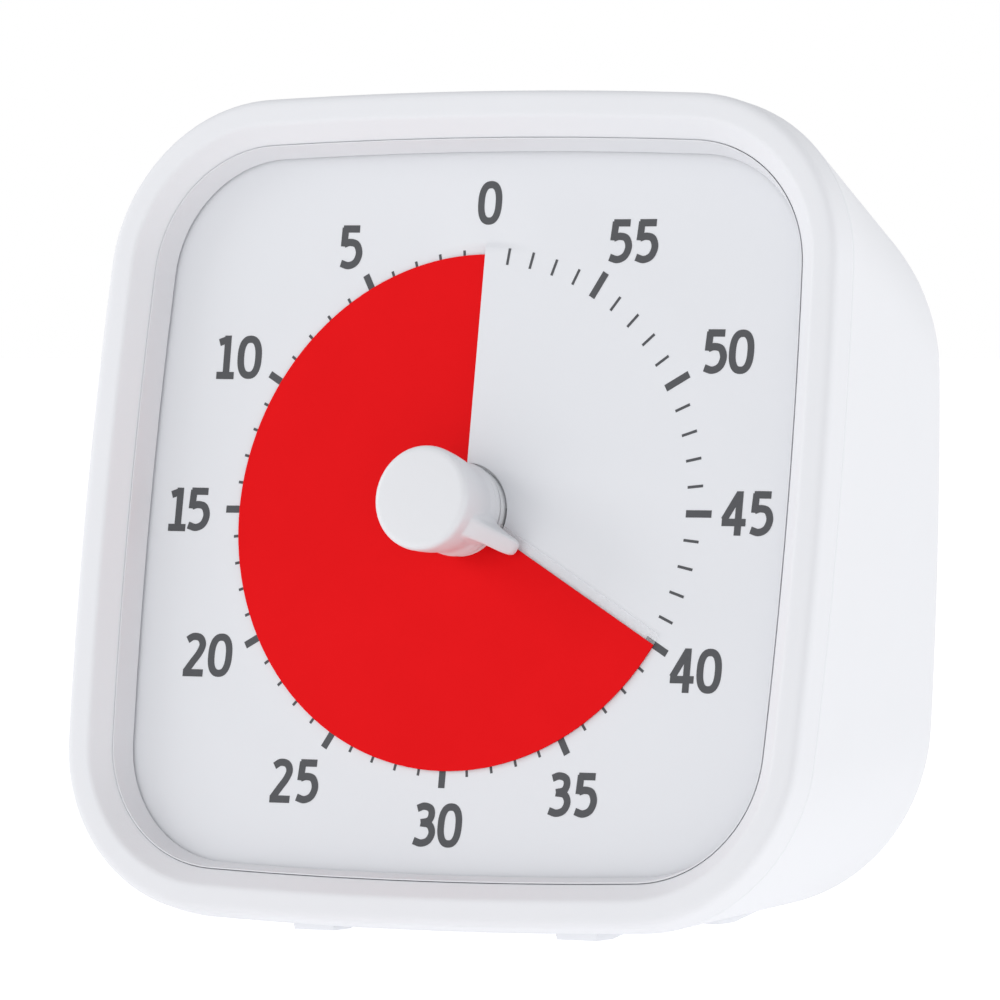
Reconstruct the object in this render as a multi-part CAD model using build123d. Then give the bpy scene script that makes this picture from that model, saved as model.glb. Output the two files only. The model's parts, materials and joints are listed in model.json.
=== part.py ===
from build123d import *
from math import atan2, cos, degrees, pi, radians, sin
import os

os.makedirs("parts", exist_ok=True)

# A sixty-minute visual countdown timer: a soft white sleeve over a hard rounded-square case, a white
# dial with a radial slit, a red disc that threads the slit, and a centre knob on the clock arbor.
# Millimetres.  Two working planes share one world: FACE lies on the dial, with u to the right,
# v up the dial and w out of it, and BACK lies on the back face, with a to the right, b up and
# c into the case.  Both are set from the dial centre; the whole timer is moved to its feet at the end.

# --- case ---
FACE_TILT = 10.0          # the dial leans back by this angle
BACK_TILT = 2.9           # the back face leans back by this angle
HALF = 45.95              # half of the front outline
CORNER = 19.5             # corner radius of the front outline
CROWN = 620.0             # radius of the slightly bowed sides
LAND_W = 4.8              # height of the flat front land above the dial
SEAM_W = 0.9              # height of the widest section
SEAM_SWELL = 0.15         # how far it stands out beyond the front outline
SEAM_HALF = HALF + SEAM_SWELL
BACK_Y = 40.5             # dial centre to back face
BACK_Z = -4.9             # centre of the back face below the dial centre
BACK_TAPER_W = 7.3        # the back outline is this much smaller on each side
BACK_TAPER_H = 5.9        # and at top and bottom
BACK_HALF_W = HALF - BACK_TAPER_W
BACK_HALF_H = HALF - BACK_TAPER_H
BACK_CORNER = 21.0
BACK_ROUND = 4.5          # rounding of the back edge
FRONT_ROUND = 1.0         # rounding of the front outer edge
FLOOR_DROP = 0.1
FLOOR_Z = -HALF - FLOOR_DROP  # level of the feet below the dial centre

# --- sleeve ---
SLEEVE_WALL = 1.6
SLEEVE_GAP = 0.1          # sleeve to hard case
LAND_INSET = 2.9          # outer edge to the start of the front slope
LIP_INSET = 4.67          # outer edge to the end of the lip
LIP_W = 3.02              # height of the lip's inner end
LIP_UNDER_W = 1.8         # underside of the lip
LIP_ROOT = 3.8            # outer edge to where the lip's underside meets the sleeve's side
BACK_LIP = 5.0            # sleeve turned in over the back face

# --- bezel, dial and case halves ---
CREVICE = 0.33            # groove between the lip and the bezel rib
RIB_TOP = 0.12            # flat on top of the rib
DIAL_INSET = 6.0          # outer edge to the foot of the bezel's inner wall
DIAL_GAP = 0.35           # bezel foot above the dial
POCKET_INSET = 4.3        # wall of the dial's pocket
PLATE_CLEAR = 0.1
PLATE_T = 1.55
CASE_WALL = 2.1
JOIN_W = -7.0             # bezel to rear shell
TAB_T = 1.2               # snap tabs behind the dial plate
TAB_REACH = 1.9
TAB_LENGTH = 9.0
TAB_ROOT = 0.4            # tab let into the wall
WEB_LENGTH = HALF         # web from each screw boss, trimmed by the wall
WEB_T = 2.0
FAR = 60.0                # beyond the case in every direction

# --- threaded disc ---
PITCH = 0.8               # rise of the disc in one turn
SHEET_T = 0.16
SHEET_GAP = 0.12          # disc to dial, each side
DISC_R = 28.6
SLIT_R = DISC_R + 0.4     # outer end of the slit
ROOT_R = SLIT_R + 0.6     # threaded zone buried in the flat plate
HUB_R = 5.0
DIAL_HOLE_R = 5.35
SCREW_W = -0.35           # mean height of the threaded zone
STRIP_W = 1.25            # clear strip ahead of the red
REST_MIN = 40.0           # minutes shown at rest
HUB_TOP_W = 0.75
HUB_BOTTOM_W = -1.6

# --- knob and arbor ---
KNOB_BASE_W = 1.1
KNOB_SKIRT_R = 5.2
KNOB_NECK_R = 5.05
KNOB_NECK_W = 4.4         # height of the narrowest section
KNOB_CAP_R = 5.8
KNOB_TOP_W = 10.2
KNOB_CAP_W = 9.2
KNOB_ROUND = 0.9
KNOB_DOME = 0.15          # rise of the cap's domed face
POINTER_WIDTH = 2.0
POINTER_REACH = 8.7
POINTER_BASE_W = 0.78
POINTER_ROOT = 3.9        # the fin starts to slope this far from the axis
POINTER_DROP = 0.3        # its root below the cap's face
ARBOR_R = 2.4
ARBOR_TOP_W = 7.0
ARBOR_FLAT = 1.9          # distance of the drive flat from the axis
ARBOR_STEP_W = -5.2
ARBOR_SEAT_R = 2.0
ARBOR_PIVOT_R = 1.0
RUN = 0.05                # radial running clearance
PRESS = 0.02              # knob's bore over the arbor

# --- movement ---
MOVE_W = 42.0
MOVE_H = 34.0
MOVE_V = -5.0             # centre of the movement below the dial axis
MOVE_FRONT_W = -3.2
MOVE_SPLIT_W = -11.0
MOVE_BACK_W = -18.2
MOVE_WALL = 1.2
COLUMN_U = 17.0
COLUMN_V = 14.0           # columns above and below the movement's centre
COLUMN_R = 2.2
MODULE = 0.25
FINE_MODULE = 0.2
WHEEL_T = 0.8
PIVOT_R = 0.5
PIVOT_RUN = 0.04
LEAVES = 8
MINUTE_TEETH = 64
THIRD_TEETH = 60
SECONDS_TEETH = 40
INTER_TEETH = 48
MINUTE_W = -7.2           # underside of each wheel
THIRD_W = -11.0
SECONDS_W = -13.4
INTER_W = -15.6
THIRD_DIR = 200.0         # direction from each arbor to the next
SECONDS_DIR = 260.0
INTER_DIR = 330.0
ROTOR_DIR = 0.0
MAGNET_R = 2.8
STATOR_T = 1.2
STATOR_W = -10.6
COIL_U = 13.0
COIL_R = 3.6
COIL_LENGTH = 16.0
COIL_V = -7.0
LEG_U = 5.8               # upper stator leg passes the coil here
LEG_WIDTH = 3.0
LEG_UPSET = 6.0           # upper leg turns up this far over the rotor
STATOR_R = 4.6
AIR_GAP = 0.45            # magnet to stator
CORE_T = 1.0
CORE_REACH = 2.4          # core beyond each end of the coil
BOBBIN_R = 2.4
FLANGE_RISE = 0.6         # flange over the winding
FLANGE_T = 0.8

# --- screws ---
SCREW_U = 26.0
SCREW_TOP_V = 27.0
SCREW_LOW_V = -25.5
BOSS_R = 3.5
SCREW_R = 1.3
SCREW_CLEAR = 0.05
HEAD_R = 2.4
HEAD_H = 1.6
HEAD_SEAT = 3.0           # boss floor under the head
SCREW_GRIP = 4.4          # thread in the bezel's boss
DRIVE_R = 0.9

# --- back: battery, board, switch, buzzer ---
DOOR_RIM = 1.4            # door overlap on the case
DOOR_T = 1.0
DOOR_CLEAR = 0.15
NOTCH_R = 4.0             # finger notch above the door
NOTCH_RISE = 0.4
NOTCH_DEPTH = 0.9
POST_WALL = 0.4           # posts stand this much prouder than the movement's columns
HEAD_RUN = 0.3            # screw head to its counterbore
CELL_R = 7.1
CELL_LENGTH = 49.2
CELL_NUB = 1.3
CELL_END = -CELL_LENGTH / 2 + 0.4  # negative end of the cell, its spring behind it
CELL_SIDE = 0.9           # cell to the bay's long walls
CELL_BED = 0.7            # cell to the bay's inner wall
DOOR_RIM_C = SLEEVE_WALL + SLEEVE_GAP + CASE_WALL + 0.6  # inner end of the door's rim
CELL_C = DOOR_RIM_C + 0.2 + CELL_R
BAY_MIDDLE = -14.0
BAY_HALF = CELL_LENGTH / 2 + 3.6
BAY_LOW = BAY_MIDDLE - CELL_R - CELL_SIDE
BAY_HIGH = BAY_MIDDLE + CELL_R + CELL_SIDE
BAY_DEPTH = CELL_C + CELL_R + CELL_BED
BAY_WALL = 1.4
BOARD_HALF = 21.0
BOARD_LOW = 1.0
BOARD_HIGH = 30.0
BOARD_C = 8.2
BOARD_T = 1.2
BUZZER_A = 9.0
BUZZER_B = 20.0
BUZZER_R = 10.0
BUZZER_T = 2.8
SOUND_HOLE_R = 0.75
SWITCH_A = -12.0
SWITCH_B = 20.0
SWITCH_TRAVEL = 2.0
SWITCH_HEIGHT = 3.6       # switch body under the board
SLIDER_W = 2.0
SLIDER_H = 1.6
SLIDER_RUN = 0.3          # slider to its slot in the case
SLOT_DEPTH = 6.0
CONTACT_T = 0.4
TAIL_WIDTH = 3.0
TAIL_RISE = 3.2           # contact tail above the bay's inner wall
TAIL_RUN = 0.1            # tail to its passage
PLATE_HALF = 5.0          # half the side of a contact plate
WIRE_R = 0.55
WIRE_BEND = 2.4
WIRE_RUN = 0.3            # coil lead to its hole in the movement
COIL_WIRE_END_V = 8.2     # the coil leads meet the board here

# --- feet ---
FOOT_X = 16.4
FOOT_WIDTH = 5.0
FOOT_FRONT_Y = -4.5
FOOT_FLAT = 4.0
FOOT_LENGTH = 12.0
FOOT_RISE = 1.25          # the foot's back end above the table
REAR_FOOT_Y = 24.0
FOOT_TOP = 2.2

FACE = Plane(origin=(0, 0, 0), x_dir=(1, 0, 0),
             z_dir=(0, -cos(radians(FACE_TILT)), sin(radians(FACE_TILT))))
BACK = Plane(origin=(0, BACK_Y, BACK_Z), x_dir=(1, 0, 0),
             z_dir=(0, -cos(radians(BACK_TILT)), sin(radians(BACK_TILT))))
UP = (Align.CENTER, Align.CENTER, Align.MIN)
DISC_TURN = REST_MIN * 6.0
POINTER_DIR = 90.0 + DISC_TURN


def on_face(shape):
    """Move a shape drawn in face coordinates to its place."""
    return FACE.location * shape


def on_back(shape):
    """Move a shape drawn in back coordinates to its place."""
    return BACK.location * shape


def outline(half_w, half_h, corner):
    """Rounded square with sides bowed to the crown radius."""
    width = Pos(half_w - CROWN, 0) * Circle(CROWN) & Pos(CROWN - half_w, 0) * Circle(CROWN)
    height = Pos(0, half_h - CROWN) * Circle(CROWN) & Pos(0, CROWN - half_h) * Circle(CROWN)
    square = width & height
    return fillet(square.vertices(), corner)


def front_outline(inset, w, half=HALF):
    """Front outline drawn in from the edge by inset, at height w over the dial."""
    return FACE.location * Pos(0, 0, w) * outline(half - inset, half - inset, CORNER - inset)


def back_outline(inset, c):
    """Back outline drawn in from the edge by inset, at depth c."""
    return BACK.location * Pos(0, 0, c) * outline(BACK_HALF_W - inset, BACK_HALF_H - inset,
                                                  BACK_CORNER - inset)


def case_solid(inset, front_w):
    """The closed body of the timer, drawn in on every side by inset."""
    sections = [front_outline(inset, front_w), front_outline(inset, SEAM_W, SEAM_HALF),
                back_outline(inset, inset)]
    return loft(sections, ruled=True)


def end_faces(solid):
    """The flat front and back faces of a case solid."""
    return solid.faces().filter_by(GeomType.PLANE).sort_by(Axis.Y)


def prism(inset, top_w, bottom_w):
    """Straight block on the front outline, between two heights."""
    return extrude(front_outline(inset, bottom_w), top_w - bottom_w, dir=FACE.z_dir)


def frustum(top_inset, top_w, bottom_inset, bottom_w):
    """Block on the front outline whose sides slope between two insets."""
    return loft([front_outline(top_inset, top_w), front_outline(bottom_inset, bottom_w)], ruled=True)


def rod(radius, low, high, u=0.0, v=0.0):
    """Cylinder along w in face coordinates."""
    return Pos(u, v, low) * Cylinder(radius, high - low, align=UP)


def block(low, high):
    """Box between two corners."""
    size = [high[i] - low[i] for i in range(3)]
    centre = [(high[i] + low[i]) / 2 for i in range(3)]
    return Pos(*centre) * Box(*size)


def silicone_sleeve():
    """Soft cover: sides, a lip over the front edge and a lip turned in over the back."""
    body = case_solid(0.0, LAND_W)
    body = fillet(end_faces(body)[-1].edges(), BACK_ROUND)
    body = fillet(end_faces(body)[0].edges(), FRONT_ROUND)
    hollow = case_solid(SLEEVE_WALL, LAND_W - SLEEVE_WALL)
    hollow = fillet(end_faces(hollow)[-1].edges(), BACK_ROUND - SLEEVE_WALL)
    drop = LAND_W - SLEEVE_WALL - LIP_UNDER_W
    lip = frustum(LIP_ROOT - drop, LAND_W - SLEEVE_WALL, LIP_ROOT, LIP_UNDER_W)
    slope = frustum(LAND_INSET, LAND_W, LIP_INSET, LIP_W)
    front_hole = prism(LIP_INSET, LAND_W, LIP_UNDER_W - 1.0)
    back_hole = extrude(back_outline(BACK_LIP, -1.0), SLEEVE_WALL + 2.0, dir=BACK.z_dir)
    return body - (hollow - lip) - slope - front_hole - back_hole


def foot(front_y):
    """Wedge foot: flat at the front, rising to the back."""
    top = FLOOR_Z + FOOT_TOP
    side = Polyline((front_y - 0.8, top), (front_y, FLOOR_Z), (front_y + FOOT_FLAT, FLOOR_Z),
                    (front_y + FOOT_LENGTH, FLOOR_Z + FOOT_RISE), (front_y + FOOT_LENGTH, top), close=True)
    return extrude(Plane.YZ * make_face(side), FOOT_WIDTH / 2, both=True)


def feet():
    """Four wedge feet under the sleeve, trimmed to its underside."""
    places = [(x, y) for y in (FOOT_FRONT_Y, REAR_FOOT_Y) for x in (-FOOT_X, FOOT_X)]
    body = fillet(end_faces(case_solid(0.0, LAND_W))[-1].edges(), BACK_ROUND)
    return Compound([solid for x, y in places for solid in (Pos(x, 0, 0) * foot(y) - body).solids()])


def screw_places():
    """Face coordinates of the four case screws."""
    return [(x, y) for y in (SCREW_LOW_V, SCREW_TOP_V) for x in (-SCREW_U, SCREW_U)]


def front_bezel(hard):
    """Hard front ring: dial pocket, sloped inner wall, snap tabs and screw bosses."""
    ring = hard & on_face(block((-FAR, -FAR, JOIN_W), (FAR, FAR, LAND_W)))
    under = LIP_ROOT - SLEEVE_GAP
    drop = LAND_W - SLEEVE_WALL - LIP_UNDER_W
    channel = frustum(under - drop, LAND_W - SLEEVE_WALL, under, LIP_UNDER_W - SLEEVE_GAP)
    rib_inset = LIP_INSET + CREVICE
    rib = prism(rib_inset, LIP_W, LIP_UNDER_W - 1.0)
    opening = frustum(rib_inset + RIB_TOP, LIP_W, DIAL_INSET, DIAL_GAP)
    pocket = prism(POCKET_INSET, DIAL_GAP, -PLATE_T - PLATE_CLEAR)
    inside = prism(SLEEVE_WALL + SLEEVE_GAP + CASE_WALL, -PLATE_T - PLATE_CLEAR, JOIN_W)
    ring = ring - channel + rib - opening - pocket - inside
    wall = SEAM_HALF - SLEEVE_WALL - SLEEVE_GAP - CASE_WALL
    low = -PLATE_T - PLATE_CLEAR - TAB_T
    for angle in (0, 90, 180, 270):
        tab = block((wall - TAB_REACH, -TAB_LENGTH / 2, low),
                    (wall + TAB_ROOT, TAB_LENGTH / 2, low + TAB_T))
        ring += on_face(Rot(0, 0, angle) * tab)
    boss_top = -PLATE_T - PLATE_CLEAR
    for u, v in screw_places():
        turn = degrees(atan2(v, u))
        web = block((0, -WEB_T / 2, JOIN_W), (WEB_LENGTH, WEB_T / 2, boss_top - 1.0))
        boss = rod(BOSS_R, JOIN_W, boss_top) + Rot(0, 0, turn) * web
        ring += on_face(Pos(u, v) * boss) & hard
        ring -= on_face(rod(SCREW_R + SCREW_CLEAR, JOIN_W, JOIN_W + SCREW_GRIP, u, v))
    return ring


def bay_box(grow, low_c, high_c):
    """Battery bay block, grown on its four sides."""
    return on_back(block((-BAY_HALF - grow, BAY_LOW - grow, low_c),
                         (BAY_HALF + grow, BAY_HIGH + grow, high_c)))


def post_places():
    """Face coordinates of the four posts that carry the movement."""
    return [(x, MOVE_V + y) for y in (-COLUMN_V, COLUMN_V) for x in (-COLUMN_U, COLUMN_U)]


def rear_shell(hard):
    """Hard rear cup with battery bay, movement posts, screw bosses, switch slot and sound holes."""
    inner = case_solid(SLEEVE_WALL + SLEEVE_GAP + CASE_WALL, LAND_W)
    behind = on_face(block((-FAR, -FAR, -FAR), (FAR, FAR, JOIN_W)))
    cup = (hard - inner) & behind
    face_c = SLEEVE_WALL + SLEEVE_GAP
    cup += bay_box(BAY_WALL, face_c + CASE_WALL - 0.2, BAY_DEPTH + BAY_WALL)
    for u, v in screw_places():
        cup += on_face(rod(BOSS_R, -FAR, JOIN_W, u, v)) & hard
    for u, v in post_places():
        cup += on_face(rod(COLUMN_R + POST_WALL, -FAR, MOVE_BACK_W, u, v)) & hard
    cup -= bay_box(0.0, -1.0, BAY_DEPTH)
    rebate = DOOR_RIM + DOOR_CLEAR
    cup -= bay_box(rebate, -1.0, face_c + DOOR_T)
    for u, v in screw_places():
        cup -= on_face(rod(SCREW_R + SCREW_CLEAR, JOIN_W - HEAD_SEAT, JOIN_W, u, v))
        cup -= on_face(rod(HEAD_R + HEAD_RUN, -FAR, JOIN_W - HEAD_SEAT, u, v))
    for u, v in post_places():
        cup -= on_face(rod(SCREW_R, MOVE_BACK_W - SCREW_GRIP, MOVE_BACK_W, u, v))
    for x, y in sound_hole_places():
        cup -= on_back(Pos(x, y, 0) * Cylinder(SOUND_HOLE_R, 8.0))
    half_w, half_h = SLIDER_W / 2 + SLIDER_RUN, SLIDER_H / 2 + SLIDER_RUN
    slot = block((SWITCH_A - half_w, SWITCH_B - half_h, -1),
                 (SWITCH_A + SWITCH_TRAVEL + half_w, SWITCH_B + half_h, SLOT_DEPTH))
    cup -= on_back(slot)
    notch = Pos(0, BAY_HIGH + rebate + NOTCH_RISE, face_c) * Cylinder(NOTCH_R, 2 * NOTCH_DEPTH)
    cup -= on_back(notch)
    for side in (-1, 1):
        middle = side * (BAY_HALF - CONTACT_T / 2)
        half_t, half_c = CONTACT_T / 2 + TAIL_RUN, TAIL_WIDTH / 2 + TAIL_RUN
        passage = block((middle - half_t, BAY_HIGH - 1, CELL_C - half_c),
                        (middle + half_t, BAY_HIGH + BAY_WALL + 1, CELL_C + half_c))
        cup -= on_back(passage)
    return cup


def sound_hole_places():
    """Hexagonal grid of sound holes over the buzzer: a centre, a ring of six and a ring of twelve."""
    rings = [(0.0, 1), (3.0, 6), (6.0, 12)]
    return [(BUZZER_A + r * cos(2 * pi * i / n), BUZZER_B + r * sin(2 * pi * i / n))
            for r, n in rings for i in range(n)]


def helicoid(inner, outer, thickness, turn):
    """Sheet swept by a screw motion of one pitch per turn, starting at +X at mid height zero."""
    middle = (inner + outer) / 2
    path = Helix(PITCH, PITCH * turn / 360.0, middle)
    section = Plane.XZ * Pos(middle, 0) * Rectangle(outer - inner, thickness)
    return sweep(section, path, is_frenet=True)


def dial_plate():
    """White dial: flat outside, threaded inside like a split washer, so that the disc screws through."""
    flat = prism(POCKET_INSET + PLATE_CLEAR, 0.0, -PLATE_T) - on_face(rod(SLIT_R, -5, 5))
    thickness = PITCH - SHEET_T - 2 * SHEET_GAP
    thread = Pos(0, 0, SCREW_W - PITCH / 2) * Rot(0, 0, 90) * helicoid(DIAL_HOLE_R, ROOT_R, thickness, 360)
    return flat + on_face(thread)


def disc_lift():
    """Height of the disc's trailing edge at rest."""
    return SCREW_W + PITCH * (DISC_TURN - 360.0) / 360.0


def time_disc():
    """Red sheet, one full turn, ending at the shown time."""
    sheet = helicoid(HUB_R + 0.02, DISC_R, SHEET_T, 360)
    return on_face(Pos(0, 0, disc_lift()) * Rot(0, 0, POINTER_DIR) * sheet)


def disc_edge():
    """Clear strip of even width ahead of the red."""
    sheet = helicoid(HUB_R + 0.02, DISC_R, SHEET_T, 20)
    strip = sheet & block((0, 0, -2), (DISC_R + 1, STRIP_W, 2))
    return on_face(Pos(0, 0, disc_lift() + PITCH) * Rot(0, 0, POINTER_DIR) * strip)


def drive_flat(clear):
    """Block beyond the drive flat, to cut from the arbor or leave in the hub."""
    return Rot(0, 0, POINTER_DIR) * block((ARBOR_FLAT + clear, -5, -3.4), (5, 5, 2))


def disc_hub():
    """White collar of the disc; it slides on the arbor's flat."""
    bore = rod(ARBOR_R + RUN, -5, 5) - drive_flat(RUN)
    return on_face(rod(HUB_R, HUB_BOTTOM_W, HUB_TOP_W) - bore)


def knob():
    """Waisted knob with a domed cap and a sloping pointer fin."""
    rim_w = KNOB_TOP_W - KNOB_DOME
    dome_r = KNOB_CAP_R - KNOB_ROUND
    sphere = (dome_r ** 2 + KNOB_DOME ** 2) / (2 * KNOB_DOME)
    mid_w = KNOB_TOP_W - sphere + (sphere ** 2 - (dome_r / 2) ** 2) ** 0.5
    shape = [Line((0, KNOB_BASE_W), (KNOB_SKIRT_R - 0.25, KNOB_BASE_W)),
             Line((KNOB_SKIRT_R - 0.25, KNOB_BASE_W), (KNOB_SKIRT_R, KNOB_BASE_W + 0.25)),
             ThreePointArc((KNOB_SKIRT_R, KNOB_BASE_W + 0.25), (KNOB_NECK_R, KNOB_NECK_W),
                           (KNOB_CAP_R, KNOB_CAP_W)),
             ThreePointArc((KNOB_CAP_R, KNOB_CAP_W),
                           (KNOB_CAP_R - 0.32 * KNOB_ROUND, rim_w - 0.32 * (rim_w - KNOB_CAP_W)),
                           (dome_r, rim_w)),
             ThreePointArc((dome_r, rim_w), (dome_r / 2, mid_w), (0, KNOB_TOP_W)),
             Line((0, KNOB_TOP_W), (0, KNOB_BASE_W))]
    body = revolve(Plane.XZ * make_face(shape), Axis.Z)
    fin = Polyline((0, POINTER_BASE_W + 0.6), (HUB_R + 0.25, POINTER_BASE_W + 0.6),
                   (HUB_R + 0.25, POINTER_BASE_W), (POINTER_REACH, POINTER_BASE_W),
                   (POINTER_REACH, POINTER_BASE_W + 0.7), (POINTER_ROOT, KNOB_TOP_W - POINTER_DROP),
                   (0, KNOB_TOP_W - POINTER_DROP),
                   close=True)
    fin = extrude(Plane.XZ * make_face(fin), POINTER_WIDTH / 2, both=True)
    fin = fillet(fin.edges().filter_by(Axis.Z).sort_by(Axis.X)[-2:], POINTER_WIDTH / 2 - 0.05)
    shaped = body + fin - rod(ARBOR_R + PRESS, KNOB_BASE_W - 1, ARBOR_TOP_W)
    return on_face(Rot(0, 0, POINTER_DIR) * shaped)


def arbor():
    """Centre arbor: knob seat, drive flat, shoulder for the minute wheel and lower pivot."""
    top = rod(ARBOR_R, ARBOR_STEP_W, ARBOR_TOP_W) - drive_flat(0.0)
    seat = rod(ARBOR_SEAT_R, MINUTE_W - 2.2, ARBOR_STEP_W)
    pivot = rod(ARBOR_PIVOT_R, MOVE_BACK_W + 0.3, MINUTE_W - 2.0)
    return on_face(top + seat + pivot)


def clutch_spring():
    """Three-armed dished washer that presses the minute wheel against the arbor's shoulder."""
    arms = Circle(ARBOR_SEAT_R + 0.9)
    for i in range(3):
        arms += Rot(0, 0, 120 * i) * Pos(2.6, 0) * Rectangle(2.6, 1.3)
    washer = extrude(arms - Circle(ARBOR_SEAT_R), 0.25)
    return on_face(Pos(0, 0, MINUTE_W - 1.1) * washer)


def clutch_clip():
    """Retaining ring under the clutch spring."""
    ring = rod(ARBOR_SEAT_R + 0.9, MINUTE_W - 1.7, MINUTE_W - 1.1) - rod(ARBOR_SEAT_R, -20, 0)
    return on_face(ring)


def arbor_points():
    """Face coordinates of the third, seconds, intermediate and rotor arbors."""
    spans = [(THIRD_DIR, (MINUTE_TEETH + LEAVES) * MODULE / 2),
             (SECONDS_DIR, (THIRD_TEETH + LEAVES) * MODULE / 2),
             (INTER_DIR, (SECONDS_TEETH + LEAVES) * MODULE / 2),
             (ROTOR_DIR, (INTER_TEETH + LEAVES) * FINE_MODULE / 2)]
    points = []
    u = v = 0.0
    for turn, span in spans:
        u += span * cos(radians(turn))
        v += span * sin(radians(turn))
        points.append((u, v))
    return points


def gear(teeth, module, thickness, phase):
    """Toothed blank with tapered teeth, one tooth pointing along phase."""
    root = module * (teeth / 2 - 1.15)
    pitch = module * teeth / 2
    tip = module * (teeth / 2 + 0.75)
    step = 2 * pi / teeth
    points = []
    for i in range(teeth):
        middle = radians(phase) + i * step
        for radius, share in ((root, -0.26), (pitch, -0.19), (tip, -0.07), (tip, 0.07), (pitch, 0.19),
                              (root, 0.26)):
            angle = middle + share * step
            points.append((radius * cos(angle), radius * sin(angle)))
    return extrude(make_face(Polyline(*points, close=True)), thickness)


def compound_wheel(place, teeth, module, wheel_w, leaf_w, leaf_t, leaf_module, phases, ends):
    """Arbor with a wheel and a leafed pinion; phases aim their teeth, ends are the pivots' heights."""
    wheel = Pos(0, 0, wheel_w) * gear(teeth, module, WHEEL_T, phases[0])
    pinion = Pos(0, 0, leaf_w) * gear(LEAVES, leaf_module, leaf_t, phases[1])
    core = rod(leaf_module * 2.6, min(leaf_w, wheel_w), max(leaf_w + leaf_t, wheel_w + WHEEL_T))
    shaft = rod(PIVOT_R, ends[0], ends[1])
    return on_face(Pos(*place) * (wheel + pinion + core + shaft))


def minute_wheel():
    """Wheel that runs loose on the arbor, driven through the friction clutch."""
    wheel = Pos(0, 0, MINUTE_W) * gear(MINUTE_TEETH, MODULE, WHEEL_T, THIRD_DIR)
    hub = rod(3.2, MINUTE_W - 0.8, MINUTE_W + WHEEL_T + 0.8)
    return on_face(wheel + hub - rod(ARBOR_SEAT_R + RUN, -20, 0))


def train_wheels():
    """Third, seconds and intermediate wheels with their pinions in mesh."""
    third, seconds, inter, rotor = arbor_points()
    leaf = 180.0 / LEAVES
    ends = (MOVE_BACK_W + 0.6, MOVE_FRONT_W - 0.6)
    return {
        "third_wheel": compound_wheel(third, THIRD_TEETH, MODULE, THIRD_W, MINUTE_W - 0.6, 2.0, MODULE,
                                      (SECONDS_DIR, THIRD_DIR + 180 + leaf), ends),
        "seconds_wheel": compound_wheel(seconds, SECONDS_TEETH, MODULE, SECONDS_W, THIRD_W - 0.5, 1.8,
                                        MODULE, (INTER_DIR, SECONDS_DIR + 180 + leaf), ends),
        "intermediate_wheel": compound_wheel(inter, INTER_TEETH, FINE_MODULE, INTER_W, SECONDS_W - 0.5,
                                             1.8, MODULE, (ROTOR_DIR, INTER_DIR + 180 + leaf), ends),
    }


def rotor():
    """Two-pole magnet rotor with its pinion."""
    place = arbor_points()[3]
    leaf = 180.0 / LEAVES
    pinion = Pos(0, 0, INTER_W - 0.4) * gear(LEAVES, FINE_MODULE, 1.6, ROTOR_DIR + 180 + leaf)
    magnet = rod(MAGNET_R, STATOR_W - 1.4, STATOR_W + 2.6)
    sleeve = rod(FINE_MODULE * 2.6, INTER_W - 0.4, STATOR_W)
    shaft = rod(PIVOT_R, MOVE_BACK_W + 0.6, MOVE_FRONT_W - 0.6)
    return on_face(Pos(*place) * (pinion + magnet + sleeve + shaft))


def bar_between(start, end, width):
    """Flat bar with round ends between two points."""
    length = ((end[0] - start[0]) ** 2 + (end[1] - start[1]) ** 2) ** 0.5
    turn = degrees(atan2(end[1] - start[1], end[0] - start[0]))
    middle = ((start[0] + end[0]) / 2, (start[1] + end[1]) / 2)
    return Pos(*middle) * Rot(0, 0, turn) * SlotCenterToCenter(length, width)


def coil_ends():
    """Face coordinates of the two ends of the coil core."""
    reach = COIL_LENGTH / 2 + CORE_REACH
    return (COIL_U, COIL_V - reach), (COIL_U, COIL_V + reach)


def stator():
    """Lamination round the rotor, with two legs to the ends of the coil core."""
    centre = arbor_points()[3]
    plate = Pos(*centre) * Circle(STATOR_R)
    low, high = coil_ends()
    lower_leg = (centre, (LEG_U, low[1]), low)
    upper_leg = (centre, (LEG_U, centre[1] + LEG_UPSET), (LEG_U, high[1]), high)
    for stops in (lower_leg, upper_leg):
        for start, end in zip(stops, stops[1:]):
            plate += bar_between(start, end, LEG_WIDTH)
    plate -= Pos(*centre) * Circle(MAGNET_R + AIR_GAP)
    return on_face(Pos(0, 0, STATOR_W) * extrude(plate, STATOR_T))


def coil_core():
    """Iron core through the coil, lying on the stator's legs."""
    low, high = coil_ends()
    return on_face(Pos(0, 0, STATOR_W + STATOR_T) * extrude(bar_between(low, high, LEG_WIDTH), CORE_T))


def coil_axis(shape):
    """Turn a shape drawn along z so that it lies on the coil's axis."""
    return on_face(Pos(COIL_U, COIL_V, STATOR_W + STATOR_T + CORE_T / 2) * Rot(90, 0, 0) * shape)


def coil_bobbin():
    """Moulded bobbin with two flanges."""
    half = COIL_LENGTH / 2
    body = Cylinder(BOBBIN_R, COIL_LENGTH)
    for z in (-half, half - FLANGE_T):
        body += Pos(0, 0, z) * Cylinder(COIL_R + FLANGE_RISE, FLANGE_T, align=UP)
    return coil_axis(body - Box(LEG_WIDTH + 0.1, CORE_T + 0.1, COIL_LENGTH + 2))


def coil_winding():
    """Copper winding between the flanges."""
    length = COIL_LENGTH - 2 * FLANGE_T - 0.1
    return coil_axis(Cylinder(COIL_R, length) - Cylinder(BOBBIN_R + 0.02, COIL_LENGTH))


def movement_box(low, high, wall):
    """Block of the movement's outline drawn in by wall, between two heights."""
    half_w = MOVE_W / 2 - wall
    half_h = MOVE_H / 2 - wall
    return block((-half_w, MOVE_V - half_h, low), (half_w, MOVE_V + half_h, high))


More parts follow.
